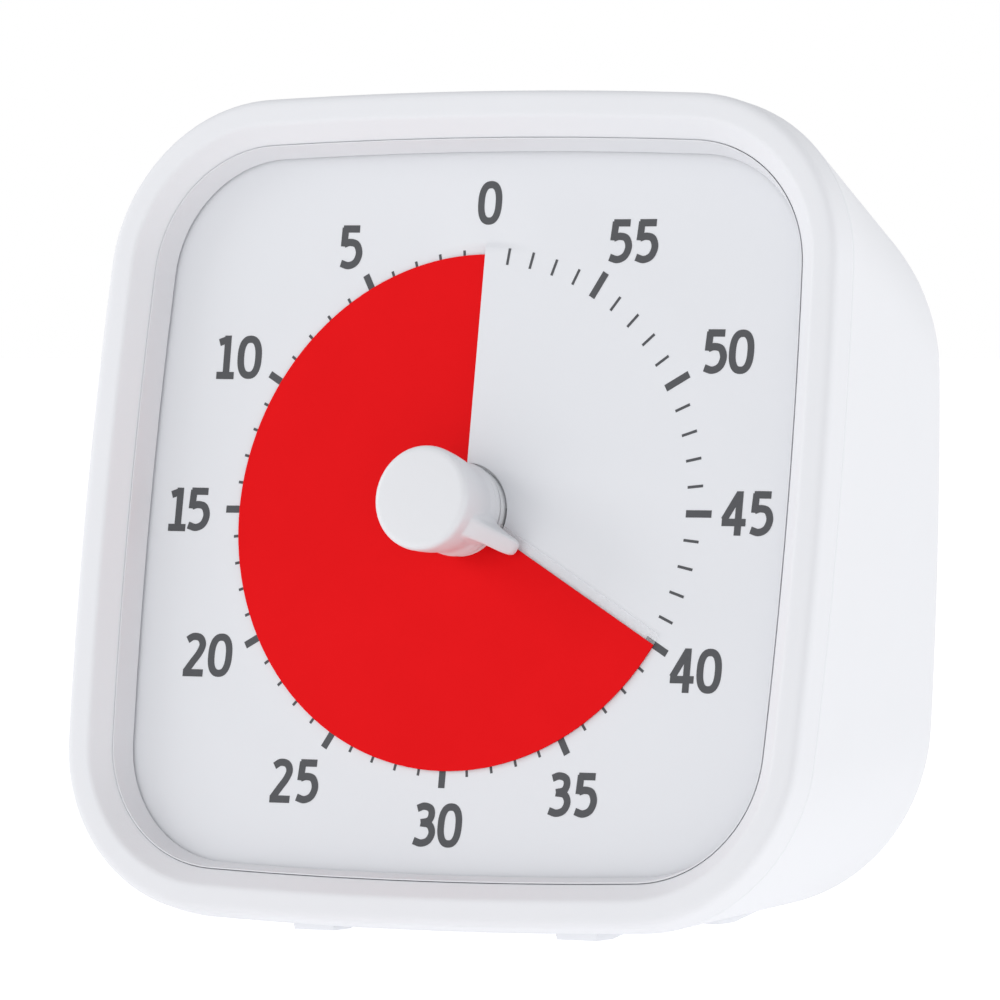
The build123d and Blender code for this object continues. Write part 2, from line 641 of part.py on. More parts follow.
def movement_half(low, high, plate_low, plate_high):
    """Half of the movement case: a plate with walls, screw columns and arbor holes."""
    shell = movement_box(low, high, 0.0)
    hollow = movement_box(low - 1, high + 1, MOVE_WALL) - movement_box(plate_low, plate_high, 0.0)
    shell -= hollow
    for u, v in post_places():
        shell += rod(COLUMN_R, low, high, u, v)
        shell -= rod(SCREW_R + SCREW_CLEAR, low - 1, high + 1, u, v)
    for u, v in arbor_points():
        shell -= rod(PIVOT_R + PIVOT_RUN, low - 1, high + 1, u, v)
    return shell


def movement_front():
    """Front half of the movement case with the arbor's bearing."""
    half = movement_half(MOVE_SPLIT_W, MOVE_FRONT_W, MOVE_FRONT_W - MOVE_WALL, MOVE_FRONT_W)
    half += rod(4.0, MOVE_FRONT_W - MOVE_WALL - 0.3, MOVE_FRONT_W + 0.5)
    return on_face(half - rod(ARBOR_R + RUN, -20, 5))


def movement_rear():
    """Rear half of the movement case with the arbor's lower bearing."""
    half = movement_half(MOVE_BACK_W, MOVE_SPLIT_W, MOVE_BACK_W, MOVE_BACK_W + MOVE_WALL)
    leg = rod(1.5, MOVE_BACK_W + MOVE_WALL, STATOR_W)
    for u, v in coil_ends():
        half += Pos(u, v) * leg
    flange_v = COIL_V + (COIL_LENGTH - FLANGE_T) / 2
    for u in coil_wire_places():
        half -= rod(WIRE_R + WIRE_RUN, MOVE_BACK_W - 1, MOVE_BACK_W + MOVE_WALL + 1, u, flange_v)
    return on_face(half - rod(ARBOR_PIVOT_R + PIVOT_RUN, -20, 5))


def pan_screw(length):
    """Pan-head screw, its head's underside at z = 0 and its shank along +z."""
    head = Pos(0, 0, -HEAD_H) * Cylinder(HEAD_R, HEAD_H, align=UP)
    head = fillet(head.edges().sort_by(Axis.Z)[0], 0.6)
    shank = Cylinder(SCREW_R, length, align=UP)
    shank = chamfer(shank.edges().sort_by(Axis.Z)[-1], 0.5)
    cross = Box(2 * DRIVE_R, 0.5, 1.6) + Box(0.5, 2 * DRIVE_R, 1.6)
    return head + shank - Pos(0, 0, -HEAD_H) * cross


def case_screws():
    """Four screws from the back into the bezel's bosses."""
    screw = pan_screw(HEAD_SEAT + SCREW_GRIP - 0.4)
    return Compound([on_face(Pos(u, v, JOIN_W - HEAD_SEAT) * screw) for u, v in screw_places()])


def movement_screws():
    """Four screws through the movement's columns into the posts."""
    screw = Rot(180, 0, 0) * pan_screw(MOVE_FRONT_W - MOVE_BACK_W + SCREW_GRIP - 0.6)
    return Compound([on_face(Pos(u, v, MOVE_FRONT_W) * screw) for u, v in post_places()])


def battery_door():
    """Door that snaps over the battery bay: a flush plate with a locating rim and a finger groove."""
    face_c = SLEEVE_WALL + SLEEVE_GAP
    grow = DOOR_RIM
    plate = bay_box(grow, face_c, face_c + DOOR_T - 0.05)
    rim = bay_box(-DOOR_CLEAR, face_c, DOOR_RIM_C) - bay_box(-DOOR_CLEAR - 1.1, -1, 10)
    lower = bay_box(-DOOR_CLEAR - 1.1, -1, face_c + DOOR_T - 0.05)
    groove = Pos(0, BAY_HIGH + grow - 2.6, face_c) * Rot(0, 90, 0) * Cylinder(0.5, 12.0)
    return plate + rim + (plate & lower) - on_back(groove)


def battery():
    """Single AA cell lying across the bay."""
    can = Cylinder(CELL_R, CELL_LENGTH, align=UP)
    can = fillet(can.edges().filter_by(GeomType.CIRCLE), 0.6)
    nub = Pos(0, 0, CELL_LENGTH) * Cylinder(2.7, CELL_NUB, align=UP)
    return on_back(Pos(CELL_END, BAY_MIDDLE, CELL_C) * Rot(0, 90, 0) * (can + nub))


def contact_strip(side):
    """Tinned plate at one end of the bay, with a tail up through the bay's wall."""
    ends = sorted((side * BAY_HALF, side * (BAY_HALF - CONTACT_T)))
    plate = block((ends[0], BAY_MIDDLE - PLATE_HALF, CELL_C - PLATE_HALF),
                  (ends[1], BAY_MIDDLE + PLATE_HALF, CELL_C + PLATE_HALF))
    tail = block((ends[0], BAY_MIDDLE, CELL_C - TAIL_WIDTH / 2),
                 (ends[1], BAY_HIGH + TAIL_RISE, CELL_C + TAIL_WIDTH / 2))
    return plate + tail


def contact_spring():
    """Sprung negative contact: a coil on a tinned plate."""
    plate = contact_strip(-1)
    path = Helix(1.0, 3.0, 3.2)
    start = Plane(origin=path @ 0, z_dir=path % 0)
    coil = sweep(start * Circle(0.32), path, is_frenet=True)
    return on_back(plate + Pos(-BAY_HALF + 0.55, BAY_MIDDLE, CELL_C) * Rot(0, 90, 0) * coil)


def contact_plate():
    """Flat positive contact with a raised button."""
    plate = contact_strip(1)
    reach = BAY_HALF - (CELL_END + CELL_LENGTH + CELL_NUB) - 0.05
    button = Pos(BAY_HALF, BAY_MIDDLE, CELL_C) * Rot(0, -90, 0) * Cylinder(3.0, reach, align=UP)
    return on_back(plate + button)


def circuit_board():
    """Board that hangs on the two upper posts."""
    board = block((-BOARD_HALF, BOARD_LOW, BOARD_C), (BOARD_HALF, BOARD_HIGH, BOARD_C + BOARD_T))
    board = on_back(board)
    for u, v in post_places():
        board -= on_face(rod(COLUMN_R + 0.7, -FAR, 0, u, v))
    return board


def board_top():
    """Depth of the board's inner face."""
    return BOARD_C + BOARD_T


def clock_chip():
    """Controller in a flat package with two rows of legs."""
    body = block((-4, -3, 0.4), (4, 3, 1.9))
    legs = block((-3.6, -4.2, 0), (3.6, 4.2, 0.4))
    for i in range(7):
        legs -= Pos(-3.0 + i * 1.0, 0) * block((-0.22, -4.4, -0.1), (0.22, -3.0, 0.5))
        legs -= Pos(-3.0 + i * 1.0, 0) * block((-0.22, 3.0, -0.1), (0.22, 4.4, 0.5))
    return on_back(Pos(-2, 17, board_top()) * (body + legs))


def crystal():
    """Quartz crystal can lying on the board."""
    can = Pos(-6.2, 24.0, board_top() + 1.05) * Rot(0, 90, 0) * Cylinder(1.0, 6.0)
    return on_back(can)


def capacitor():
    """Electrolytic capacitor standing on the board."""
    can = Pos(8.0, 24.5, board_top()) * Cylinder(2.5, 6.0, align=UP)
    return on_back(fillet(can.edges().sort_by(Axis.Z)[-1], 0.4))


def resistors():
    """Row of four small surface-mounted resistors."""
    parts = [block((-0.8, -0.5, 0), (0.8, 0.5, 0.5)) for _ in range(4)]
    return Compound([on_back(Pos(8.0 + 3.0 * (i % 2), 14.0 + 2.4 * (i // 2), board_top()) * part)
                     for i, part in enumerate(parts)])


def buzzer():
    """Piezo sounder in a round case, glued behind the sound holes."""
    back_c = SLEEVE_WALL + SLEEVE_GAP + CASE_WALL
    case = Cylinder(BUZZER_R, BUZZER_T, align=UP) - Cylinder(1.2, 1.0, align=UP)
    case = fillet(case.edges().filter_by(GeomType.CIRCLE).sort_by(Axis.Z)[-1], 0.5)
    return on_back(Pos(BUZZER_A, BUZZER_B, back_c + 0.25) * case)


def sound_switch():
    """Slide switch soldered to the board, with a channel for its slider."""
    low = BOARD_C - SWITCH_HEIGHT
    body = block((SWITCH_A - 3.6, SWITCH_B - 2.2, low),
                 (SWITCH_A + SWITCH_TRAVEL + 3.6, SWITCH_B + 2.2, BOARD_C))
    channel = block((SWITCH_A - 1.6, SWITCH_B - 1.1, low - 1),
                    (SWITCH_A + SWITCH_TRAVEL + 1.6, SWITCH_B + 1.1, low + 2.0))
    return on_back(body - channel)


def switch_slider():
    """Slider of the sound switch; its grip stands just below the case's back face."""
    low = BOARD_C - SWITCH_HEIGHT
    foot_block = block((-1.4, -1.0, low + 0.3), (1.4, 1.0, low + 1.9))
    stem = block((-SLIDER_W / 2, -SLIDER_H / 2, 0.9), (SLIDER_W / 2, SLIDER_H / 2, low + 0.3))
    grip = block((-0.2, -1, 0.8), (0.2, 1, 1.2))
    return on_back(Pos(SWITCH_A, SWITCH_B) * (foot_block + stem - grip))


def lead(points):
    """Insulated wire along straight runs joined by arcs."""
    path = FilletPolyline(*points, radius=WIRE_BEND)
    start = Plane(origin=path @ 0, z_dir=path % 0)
    return sweep(start * Circle(WIRE_R), path)


def battery_wires():
    """Two leads, soldered to the contacts' tails, that run up to the board."""
    tail = BAY_HIGH + TAIL_RISE - 1.4
    leads = []
    for side in (-1, 1):
        inner = side * (BAY_HALF - CONTACT_T - WIRE_R)
        points = [(inner, tail, CELL_C), (inner, 5.0, CELL_C), (side * 23.0, 12.0, 14.5),
                  (side * 18.0, 18.0, 14.5), (side * 18.0, 18.0, board_top() + 0.05)]
        leads.append(on_back(lead(points)))
    return Compound(leads)


def coil_wires():
    """Two leads from the coil's upper flange, out through the rear plate, to the board."""
    leads = []
    flange_v = COIL_V + (COIL_LENGTH - FLANGE_T) / 2
    flange_w = STATOR_W + STATOR_T + CORE_T / 2 - COIL_R - FLANGE_RISE
    meet = FACE.to_local_coords(on_back(Vertex(0, 0, board_top() + 0.1)).center())
    slope = BACK.z_dir.dot(FACE.y_dir) / BACK.z_dir.dot(FACE.z_dir)
    end_w = meet.Z - (COIL_WIRE_END_V - meet.Y) * slope
    for u in coil_wire_places():
        points = [(u, flange_v, flange_w - 0.05), (u, 0.6, MOVE_BACK_W - 3.3),
                  (u - 0.8, COIL_WIRE_END_V - 0.7, MOVE_BACK_W - 6.3), (u - 0.8, COIL_WIRE_END_V, end_w)]
        leads.append(on_face(lead(points)))
    return Compound(leads)


def coil_wire_places():
    """Two u positions of the coil leads, either side of the coil's axis."""
    return (COIL_U - 1.6, COIL_U + 1.6)


def nodes():
    """Every sub-part under its node name."""
    hard = case_solid(SLEEVE_WALL + SLEEVE_GAP, LAND_W - SLEEVE_WALL - SLEEVE_GAP)
    hard = fillet(end_faces(hard)[-1].edges(), BACK_ROUND - SLEEVE_WALL - SLEEVE_GAP)
    parts = {
        "silicone_sleeve": silicone_sleeve(),
        "feet": feet(),
        "front_bezel": front_bezel(hard),
        "rear_shell": rear_shell(hard),
        "dial_plate": dial_plate(),
        "time_disc": time_disc(),
        "disc_edge": disc_edge(),
        "disc_hub": disc_hub(),
        "knob": knob(),
        "arbor": arbor(),
        "clutch_spring": clutch_spring(),
        "clutch_clip": clutch_clip(),
        "minute_wheel": minute_wheel(),
        "rotor": rotor(),
        "stator": stator(),
        "coil_core": coil_core(),
        "coil_bobbin": coil_bobbin(),
        "coil_winding": coil_winding(),
        "movement_front": movement_front(),
        "movement_rear": movement_rear(),
        "case_screws": case_screws(),
        "movement_screws": movement_screws(),
        "battery_door": battery_door(),
        "battery": battery(),
        "contact_spring": contact_spring(),
        "contact_plate": contact_plate(),
        "circuit_board": circuit_board(),
        "clock_chip": clock_chip(),
        "crystal": crystal(),
        "capacitor": capacitor(),
        "resistors": resistors(),
        "buzzer": buzzer(),
        "sound_switch": sound_switch(),
        "switch_slider": switch_slider(),
        "battery_wires": battery_wires(),
        "coil_wires": coil_wires(),
    }
    parts.update(train_wheels())
    return parts


def main():
    parts = nodes()
    boxes = [shape.bounding_box() for shape in parts.values()]
    front = min(box.min.Y for box in boxes)
    back = max(box.max.Y for box in boxes)
    stand = Pos(0, -(front + back) / 2, -FLOOR_Z)
    for name, shape in parts.items():
        export_step(stand * shape, f"parts/{name}.step")
    print("dial centre", 0.0, round(-(front + back) / 2, 4), -FLOOR_Z)


main()
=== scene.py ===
import json
import math
import bmesh
import bpy
import numpy as np
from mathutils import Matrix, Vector


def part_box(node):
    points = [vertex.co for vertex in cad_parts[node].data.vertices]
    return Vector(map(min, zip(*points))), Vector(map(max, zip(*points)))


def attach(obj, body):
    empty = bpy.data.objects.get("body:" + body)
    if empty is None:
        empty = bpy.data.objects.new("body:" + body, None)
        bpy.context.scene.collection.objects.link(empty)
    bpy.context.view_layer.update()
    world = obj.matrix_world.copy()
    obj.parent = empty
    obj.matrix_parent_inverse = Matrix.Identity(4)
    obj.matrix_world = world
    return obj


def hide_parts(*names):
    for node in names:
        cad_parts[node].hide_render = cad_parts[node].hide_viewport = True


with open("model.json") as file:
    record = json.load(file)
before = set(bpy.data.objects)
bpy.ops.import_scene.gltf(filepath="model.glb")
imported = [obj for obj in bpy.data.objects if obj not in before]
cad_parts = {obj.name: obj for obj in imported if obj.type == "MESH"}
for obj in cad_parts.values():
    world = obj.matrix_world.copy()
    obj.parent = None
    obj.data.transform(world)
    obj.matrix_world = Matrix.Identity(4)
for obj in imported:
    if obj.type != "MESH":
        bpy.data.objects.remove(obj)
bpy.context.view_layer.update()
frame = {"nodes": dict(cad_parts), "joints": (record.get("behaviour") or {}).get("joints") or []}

# --- Soft sleeve ---
# A white silicone cover that is stretched over the hard case: it wraps the four sides, turns in over
# the front as a sloping lip, and turns in over the back.  One moulding, with a fine parting line
# round its widest section.
MM = 0.001
KNOB_JOINT = next(joint for joint in frame["joints"] if joint["name"] == "knob_turn")
DIAL_CENTRE = np.array(KNOB_JOINT["pos_m"])
OUT = np.array(KNOB_JOINT["axis"])
ACROSS = np.array([1.0, 0.0, 0.0])
UP_DIAL = np.cross(OUT, ACROSS)
BACK_LEAN = math.radians(2.9)
BACK_UP = np.array([0.0, math.sin(BACK_LEAN), math.cos(BACK_LEAN)])
BACK_IN = np.array([0.0, -math.cos(BACK_LEAN), math.sin(BACK_LEAN)])
BACK_BEHIND = 40.5
BACK_BELOW = 4.9
BACK_CENTRE = DIAL_CENTRE + np.array([0.0, BACK_BEHIND, -BACK_BELOW]) * MM
FRONT_HALF = 45.95
FRONT_CORNER = 19.5
CROWN = 620.0
BACK_HALF_W = 38.65
BACK_HALF_H = 40.05
BACK_CORNER = 21.0
BACK_TURN_IN = 5.0
SLEEVE_WALL = 1.6
SEAM_SWELL = 0.15
WIDEST_HALF = FRONT_HALF + SEAM_SWELL
PARTING_HEIGHT = 0.9
PARTING_HALF = 0.22
PARTING_DEPTH = 0.1
RIM_INSET = 2.9
RIM_HEIGHT = 4.8
RIM_INNER_INSET = 2.4
RIM_INNER_HEIGHT = 3.2
LIP_END = 4.94
LIP_HEIGHT = 2.9
LIP_UNDER_INSET = 3.8
LIP_UNDER_HEIGHT = 1.8
CENTRE_ROUNDS = 12
CORNER_STEPS = 26
SIDE_STEPS = 10
CORNER_SHARE = 0.46
RUN_IN_SHARE = 0.48
DRIFT_MM = 14.0


def on_dial(points):
    """Points given as millimetres across, up and out of the dial, in the model's frame."""
    points = np.asarray(points, dtype=float) * MM
    return (DIAL_CENTRE + points[:, 0:1] * ACROSS + points[:, 1:2] * UP_DIAL + points[:, 2:3] * OUT)


def on_back(points):
    """Points given as millimetres across, up and into the back face, in the model's frame."""
    points = np.asarray(points, dtype=float) * MM
    return (BACK_CENTRE + points[:, 0:1] * ACROSS + points[:, 1:2] * BACK_UP
            + points[:, 2:3] * BACK_IN)


def rounded_square(half_w, half_h, corner):
    """Outline of the case in one plane: four gently bowed sides joined by tangent corner arcs."""
    reach = CROWN - corner
    x, y = half_w - corner, half_h - corner
    # The centre of the corner arc settles where the arc touches both bowed sides.
    for _ in range(CENTRE_ROUNDS):
        x = half_w - CROWN + math.sqrt(reach ** 2 - y ** 2)
        y = half_h - CROWN + math.sqrt(reach ** 2 - x ** 2)
    from_side = math.atan2(y, x - half_w + CROWN)
    from_top = math.atan2(y - half_h + CROWN, x)
    quarter = [(half_w - CROWN + CROWN * math.cos(from_side * step / SIDE_STEPS),
                CROWN * math.sin(from_side * step / SIDE_STEPS)) for step in range(SIDE_STEPS)]
    for step in range(CORNER_STEPS + 1):
        angle = from_side + (from_top - from_side) * step / CORNER_STEPS
        quarter.append((x + corner * math.cos(angle), y + corner * math.sin(angle)))
    for step in range(1, SIDE_STEPS + 1):
        angle = from_top + (math.pi / 2 - from_top) * step / SIDE_STEPS
        quarter.append((CROWN * math.cos(angle), half_h - CROWN + CROWN * math.sin(angle)))
    quarter = np.array(quarter)
    return np.vstack([quarter[:-1], (quarter * (-1, 1))[:0:-1], (quarter * (-1, -1))[:-1],
                      (quarter * (1, -1))[:0:-1]])


def front_ring(inset, height, half=FRONT_HALF):
    """Ring on the front outline, drawn in by inset, at a height over the dial."""
    line = rounded_square(half - inset, half - inset, FRONT_CORNER - inset)
    return on_dial(np.column_stack([line, np.full(len(line), height)]))


def back_ring(inset, depth):
    """Ring on the back outline, drawn in by inset, at a depth below the back face."""
    line = rounded_square(BACK_HALF_W - inset, BACK_HALF_H - inset, BACK_CORNER - inset)
    return on_back(np.column_stack([line, np.full(len(line), depth)]))


def round_corners(rings, radii, steps=7, run_in=0.3):
    """Closed section through control rings, each rounded between two rows that hold its flats."""
    rows = []
    for number, here in enumerate(rings):
        back = rings[number - 1] - here
        ahead = rings[(number + 1) % len(rings)] - here
        back_length = np.linalg.norm(back, axis=1, keepdims=True)
        ahead_length = np.linalg.norm(ahead, axis=1, keepdims=True)
        radius = radii[number] * MM
        start = here + back * np.minimum(radius / back_length, CORNER_SHARE)
        end = here + ahead * np.minimum(radius / ahead_length, CORNER_SHARE)
        rows.append(here + back * np.minimum((radius + run_in * MM) / back_length, RUN_IN_SHARE))
        for share in np.linspace(0.0, 1.0, steps + 1):
            rows.append((1 - share) ** 2 * start + 2 * share * (1 - share) * here + share ** 2 * end)
        rows.append(here + ahead * np.minimum((radius + run_in * MM) / ahead_length, RUN_IN_SHARE))
    return rows


def loft(rows):
    """Points and faces of a skin over closed rings that close on themselves."""
    count, around = len(rows), len(rows[0])
    faces = []
    for row in range(count):
        after = (row + 1) % count
        for step in range(around):
            turn = (step + 1) % around
            faces.append((row * around + step, row * around + turn,
                          after * around + turn, after * around + step))
    return np.vstack(rows), faces


def placed(name, data):
    """New object in the scene, at the origin."""
    made = bpy.data.objects.new(name, data)
    bpy.context.scene.collection.objects.link(made)
    return made


def make_piece(name, points, faces, crease=35.0):
    """Closed mesh object at the origin, doubles merged, faces outward, soft-shaded to its creases."""
    mesh = bpy.data.meshes.new(name)
    mesh.from_pydata(np.asarray(points).tolist(), [], faces)
    work = bmesh.new()
    work.from_mesh(mesh)
    bmesh.ops.remove_doubles(work, verts=work.verts, dist=1e-7)
    bmesh.ops.recalc_face_normals(work, faces=work.faces)
    work.to_mesh(mesh)
    work.free()
    mesh.polygons.foreach_set("use_smooth", [True] * len(mesh.polygons))
    mesh.set_sharp_from_angle(angle=math.radians(crease))
    return placed(name, mesh)


class Amount:
    """What varies over a surface; sums, differences and products of its numbers add Math nodes."""

    def __init__(self, finish, socket):
        self.finish = finish
        self.socket = socket

    def combine(self, operation, first, second):
        return self.finish.node("ShaderNodeMath", {"operation": operation}, {0: first, 1: second})

    def __add__(self, other):
        return self.combine("ADD", self, other)

    def __radd__(self, other):
        return self.combine("ADD", other, self)

    def __sub__(self, other):
        return self.combine("SUBTRACT", self, other)

    def __rsub__(self, other):
        return self.combine("SUBTRACT", other, self)

    def __mul__(self, other):
        return self.combine("MULTIPLY", self, other)

    def __rmul__(self, other):
        return self.combine("MULTIPLY", other, self)


class Finish:
    """A surface finish: one material, built from nodes on Object coordinates."""

    def __init__(self, name):
        self.material = bpy.data.materials.new(name)
        self.material.use_nodes = True
        self.nodes = self.material.node_tree.nodes
        self.links = self.material.node_tree.links
        self.shader = self.nodes["Principled BSDF"]
        self.place = self.node("ShaderNodeTexCoord", {}, {}, "Object")

    def plug(self, socket, value):
        """Link an amount to a socket, or set the socket's own value."""
        if isinstance(value, Amount):
            self.links.new(value.socket, socket)
        else:
            socket.default_value = value

    def node(self, kind, settings, sockets, output=0):
        """Add a node: its settings first, then its sockets; gives one of its outputs."""
        made = self.nodes.new(kind)
        for key, value in settings.items():
            if key == "stops":
                for place, (position, colour) in enumerate(value):
                    stop = (made.color_ramp.elements[place] if place < 2
                            else made.color_ramp.elements.new(position))
                    stop.position = position
                    stop.color = (*colour, 1.0)
            else:
                setattr(made, key, value)
        for key, value in sockets.items():
            self.plug(made.inputs[key], value)
        return Amount(self, made.outputs[output])

    def grain(self, size, detail=2.0, stretch=(1.0, 1.0, 1.0)):
        """Soft noise with features of the given size in millimetres."""
        scaled = self.node("ShaderNodeMapping", {}, {"Vector": self.place, "Scale": stretch}, "Vector")
        return self.node("ShaderNodeTexNoise", {},
                         {"Vector": scaled, "Scale": 1.0 / (size * MM), "Detail": detail,
                          "Roughness": 0.55}, "Fac")

    def opaque(self, colour):
        """A colour for a socket: a varying one as it is, red, green and blue with full alpha."""
        return colour if isinstance(colour, Amount) else (*colour, 1.0)

    def blend(self, share, first, second):
        """Mix of two colours, through the Mix node's colour sockets."""
        return self.node("ShaderNodeMix", {"data_type": "RGBA"},
                         {0: share, 6: self.opaque(first), 7: self.opaque(second)}, 2)

    def surface(self, colour, roughness, relief=None, relief_mm=0.0, metallic=0.0, **fixed):
        """Set the shader: colour and roughness may vary, relief is a height in millimetres."""
        self.plug(self.shader.inputs["Base Color"], self.opaque(colour))
        self.plug(self.shader.inputs["Roughness"], roughness)
        self.plug(self.shader.inputs["Metallic"], metallic)
        if relief is not None:
            bump = self.node("ShaderNodeBump", {}, {"Strength": 1.0, "Distance": relief_mm * MM,
                                                    "Height": relief}, "Normal")
            self.plug(self.shader.inputs["Normal"], bump)
        for key, value in fixed.items():
            self.shader.inputs[key.replace("_", " ")].default_value = value
        return self.material


def moulded(name, pale, deep, grain_mm, roughness, depth_mm, shine=0.5):
    """Moulded surface: slow colour drift, fine spark-eroded grain and slightly uneven gloss."""
    finish = Finish(name)
    fine = finish.grain(grain_mm, 3.0)
    slow = finish.grain(DRIFT_MM)
    return finish.surface(finish.blend(slow * 0.7 + fine * 0.3, deep, pale),
                          fine * 0.1 + slow * 0.08 + (roughness - 0.09), fine, depth_mm,
                          Specular_IOR_Level=shine)


silicone = moulded("white_silicone", (0.795, 0.803, 0.832), (0.775, 0.783, 0.812),
                   grain_mm=0.22, roughness=0.56, depth_mm=0.006, shine=0.3)
# The sleeve's section: control rings, each with the radius of its corner in millimetres.  They run
# from the lip over the rim and the outside to the back, and return along the inside.
SLEEVE_SECTION = [
    (front_ring(LIP_END, LIP_HEIGHT), 0.12), (front_ring(RIM_INSET, RIM_HEIGHT), 0.4),
    (front_ring(0.0, RIM_HEIGHT), 1.0),
    (front_ring(0.0, PARTING_HEIGHT + PARTING_HALF, WIDEST_HALF), 0.06),
    (front_ring(PARTING_DEPTH, PARTING_HEIGHT, WIDEST_HALF), 0.05),
    (front_ring(0.0, PARTING_HEIGHT - PARTING_HALF, WIDEST_HALF), 0.06),
    (back_ring(0.0, 0.0), 4.5), (back_ring(BACK_TURN_IN, 0.0), 0.35),
    (back_ring(BACK_TURN_IN, SLEEVE_WALL), 0.3), (back_ring(SLEEVE_WALL, SLEEVE_WALL), 2.9),
    (front_ring(SLEEVE_WALL, PARTING_HEIGHT, WIDEST_HALF), 0.2),
    (front_ring(SLEEVE_WALL, RIM_INNER_HEIGHT), 0.2),
    (front_ring(RIM_INNER_INSET, RIM_INNER_HEIGHT), 0.2),
    (front_ring(LIP_UNDER_INSET, LIP_UNDER_HEIGHT), 0.2), (front_ring(LIP_END, LIP_UNDER_HEIGHT), 0.2)]
sleeve_rings, sleeve_radii = zip(*SLEEVE_SECTION)
sleeve = make_piece("soft_sleeve", *loft(round_corners(sleeve_rings, sleeve_radii)))
sleeve.data.materials.append(silicone)
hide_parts("silicone_sleeve")
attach(sleeve, "case")

# --- Feet ---
# Four small wedge feet that hold the case at its lean.  They are moulded in a pale firm rubber with
# softened edges, and sit on the underside of the sleeve.
FOOT_VOXEL = 0.16
FOOT_PASSES = 3
MERGE_REACH = 1e-6


def softened(draft, name, voxel_mm, passes):
    """The same solid with softer edges: remeshed finely, then smoothed; the draft is used up."""
    remesh = draft.modifiers.new("remesh", "REMESH")
    remesh.mode = "VOXEL"
    remesh.voxel_size = voxel_mm * MM
    smooth = draft.modifiers.new("smooth", "SMOOTH")
    smooth.factor = 0.5
    smooth.iterations = passes
    mesh = bpy.data.meshes.new_from_object(draft.evaluated_get(bpy.context.evaluated_depsgraph_get()))
    bpy.data.objects.remove(draft)
    mesh.name = name
    mesh.materials.clear()
    mesh.polygons.foreach_set("use_smooth", [True] * len(mesh.polygons))
    return placed(name, mesh)


feet_mesh = frame["nodes"]["feet"].data.copy()
feet_work = bmesh.new()
feet_work.from_mesh(feet_mesh)
bmesh.ops.remove_doubles(feet_work, verts=feet_work.verts, dist=MERGE_REACH)
feet_work.to_mesh(feet_mesh)
feet_work.free()
foot_rubber = moulded("foot_rubber", (0.84, 0.85, 0.88), (0.80, 0.81, 0.84),
                      grain_mm=0.3, roughness=0.7, depth_mm=0.012, shine=0.3)
feet = softened(placed("feet_draft", feet_mesh), "wedge_feet", FOOT_VOXEL, FOOT_PASSES)
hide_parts("feet")
feet.data.materials.append(foot_rubber)
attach(feet, "case")

# --- Front bezel ---
# Hard white ABS ring under the sleeve's lip; its sloping inner wall frames the dial, and its bosses
# take the case screws.


def dress(material, *nodes):
    """Give CAD nodes their finish."""
    for node in nodes:
        slots = frame["nodes"][node].data.materials
        slots.clear()
        slots.append(material)


dress(moulded("bezel_plastic", (0.755, 0.763, 0.79), (0.735, 0.743, 0.77),
              grain_mm=0.12, roughness=0.42, depth_mm=0.004, shine=0.35), "front_bezel")

# --- Dial plate ---
# White printed plate with a radial slit at the top.  Round the slit the plate is a flat-pitched
# screw, so that the disc can pass from above it to below it; outside the disc it eases back to flat.
DISC_PITCH = 0.8
THREAD_LOW = -0.55
THREAD_R = 29.1
PLATE_HOLE_R = 5.35
PLATE_T = 1.55
THREAD_T = 0.4
PLATE_INSET = 4.4
RAY_STEP = 1.5
JOIN_ANGLE = 14.0
JOIN_WIDTH = 0.9
SLIT_END_R = 30.0
FLATTEN_R = 30.6
FLAT_R = 39.0


def smooth_rise(share):
    """Smooth rise from 0 to 1."""
    share = np.clip(share, 0.0, 1.0)
    return share * share * (3 - 2 * share)


def dial_height(radius, turn):
    """Height of the dial's face at a radius and at degrees anticlockwise from the slit."""
    thread = THREAD_LOW + DISC_PITCH * turn / 360
    level = THREAD_LOW + DISC_PITCH / 2
    stepless = level + (thread - level) * smooth_rise(np.minimum(turn, 360 - turn) / JOIN_ANGLE)
    joined = thread + (stepless - thread) * smooth_rise((radius - THREAD_R) / JOIN_WIDTH)
    return joined * (1 - smooth_rise((radius - FLATTEN_R) / (FLAT_R - FLATTEN_R)))


edge_line = rounded_square(FRONT_HALF - PLATE_INSET, FRONT_HALF - PLATE_INSET,
                           FRONT_CORNER - PLATE_INSET)
edge_turn = np.degrees(np.arctan2(edge_line[:, 1], edge_line[:, 0])) % 360
edge_order = np.argsort(edge_turn)
edge_reach = np.hypot(edge_line[:, 0], edge_line[:, 1])
inner_radii = [PLATE_HOLE_R, 9.0, 14.0, 19.0, 24.0, 27.0, 28.6, THREAD_R, 29.4, 29.7, SLIT_END_R, 30.3,
               FLATTEN_R, 31.6, 32.8, 34.0, 35.4, 36.8, 38.0, FLAT_R]
turns = np.arange(0.0, 360.0 + RAY_STEP / 2, RAY_STEP)
face_rows, under_rows = [], []
for turn in turns:
    direction = math.radians(90 + turn)
    reach = np.interp(math.degrees(direction) % 360, edge_turn[edge_order], edge_reach[edge_order],
                      period=360)
    radii = np.array(inner_radii + [FLAT_R + (reach - FLAT_R) * share for share in (0.5, 1.0)])
    heights = dial_height(radii, turn)
    under = np.where(radii <= THREAD_R, heights - THREAD_T, -PLATE_T)
    flat = np.column_stack([radii * math.cos(direction), radii * math.sin(direction)])
    face_rows.append(np.column_stack([flat, heights]))
    under_rows.append(np.column_stack([flat, under]))
rays, rings = len(turns), len(inner_radii) + 2
slit_end = inner_radii.index(SLIT_END_R)
plate_points = on_dial(np.vstack(face_rows + under_rows))
below = rays * rings
plate_faces = []
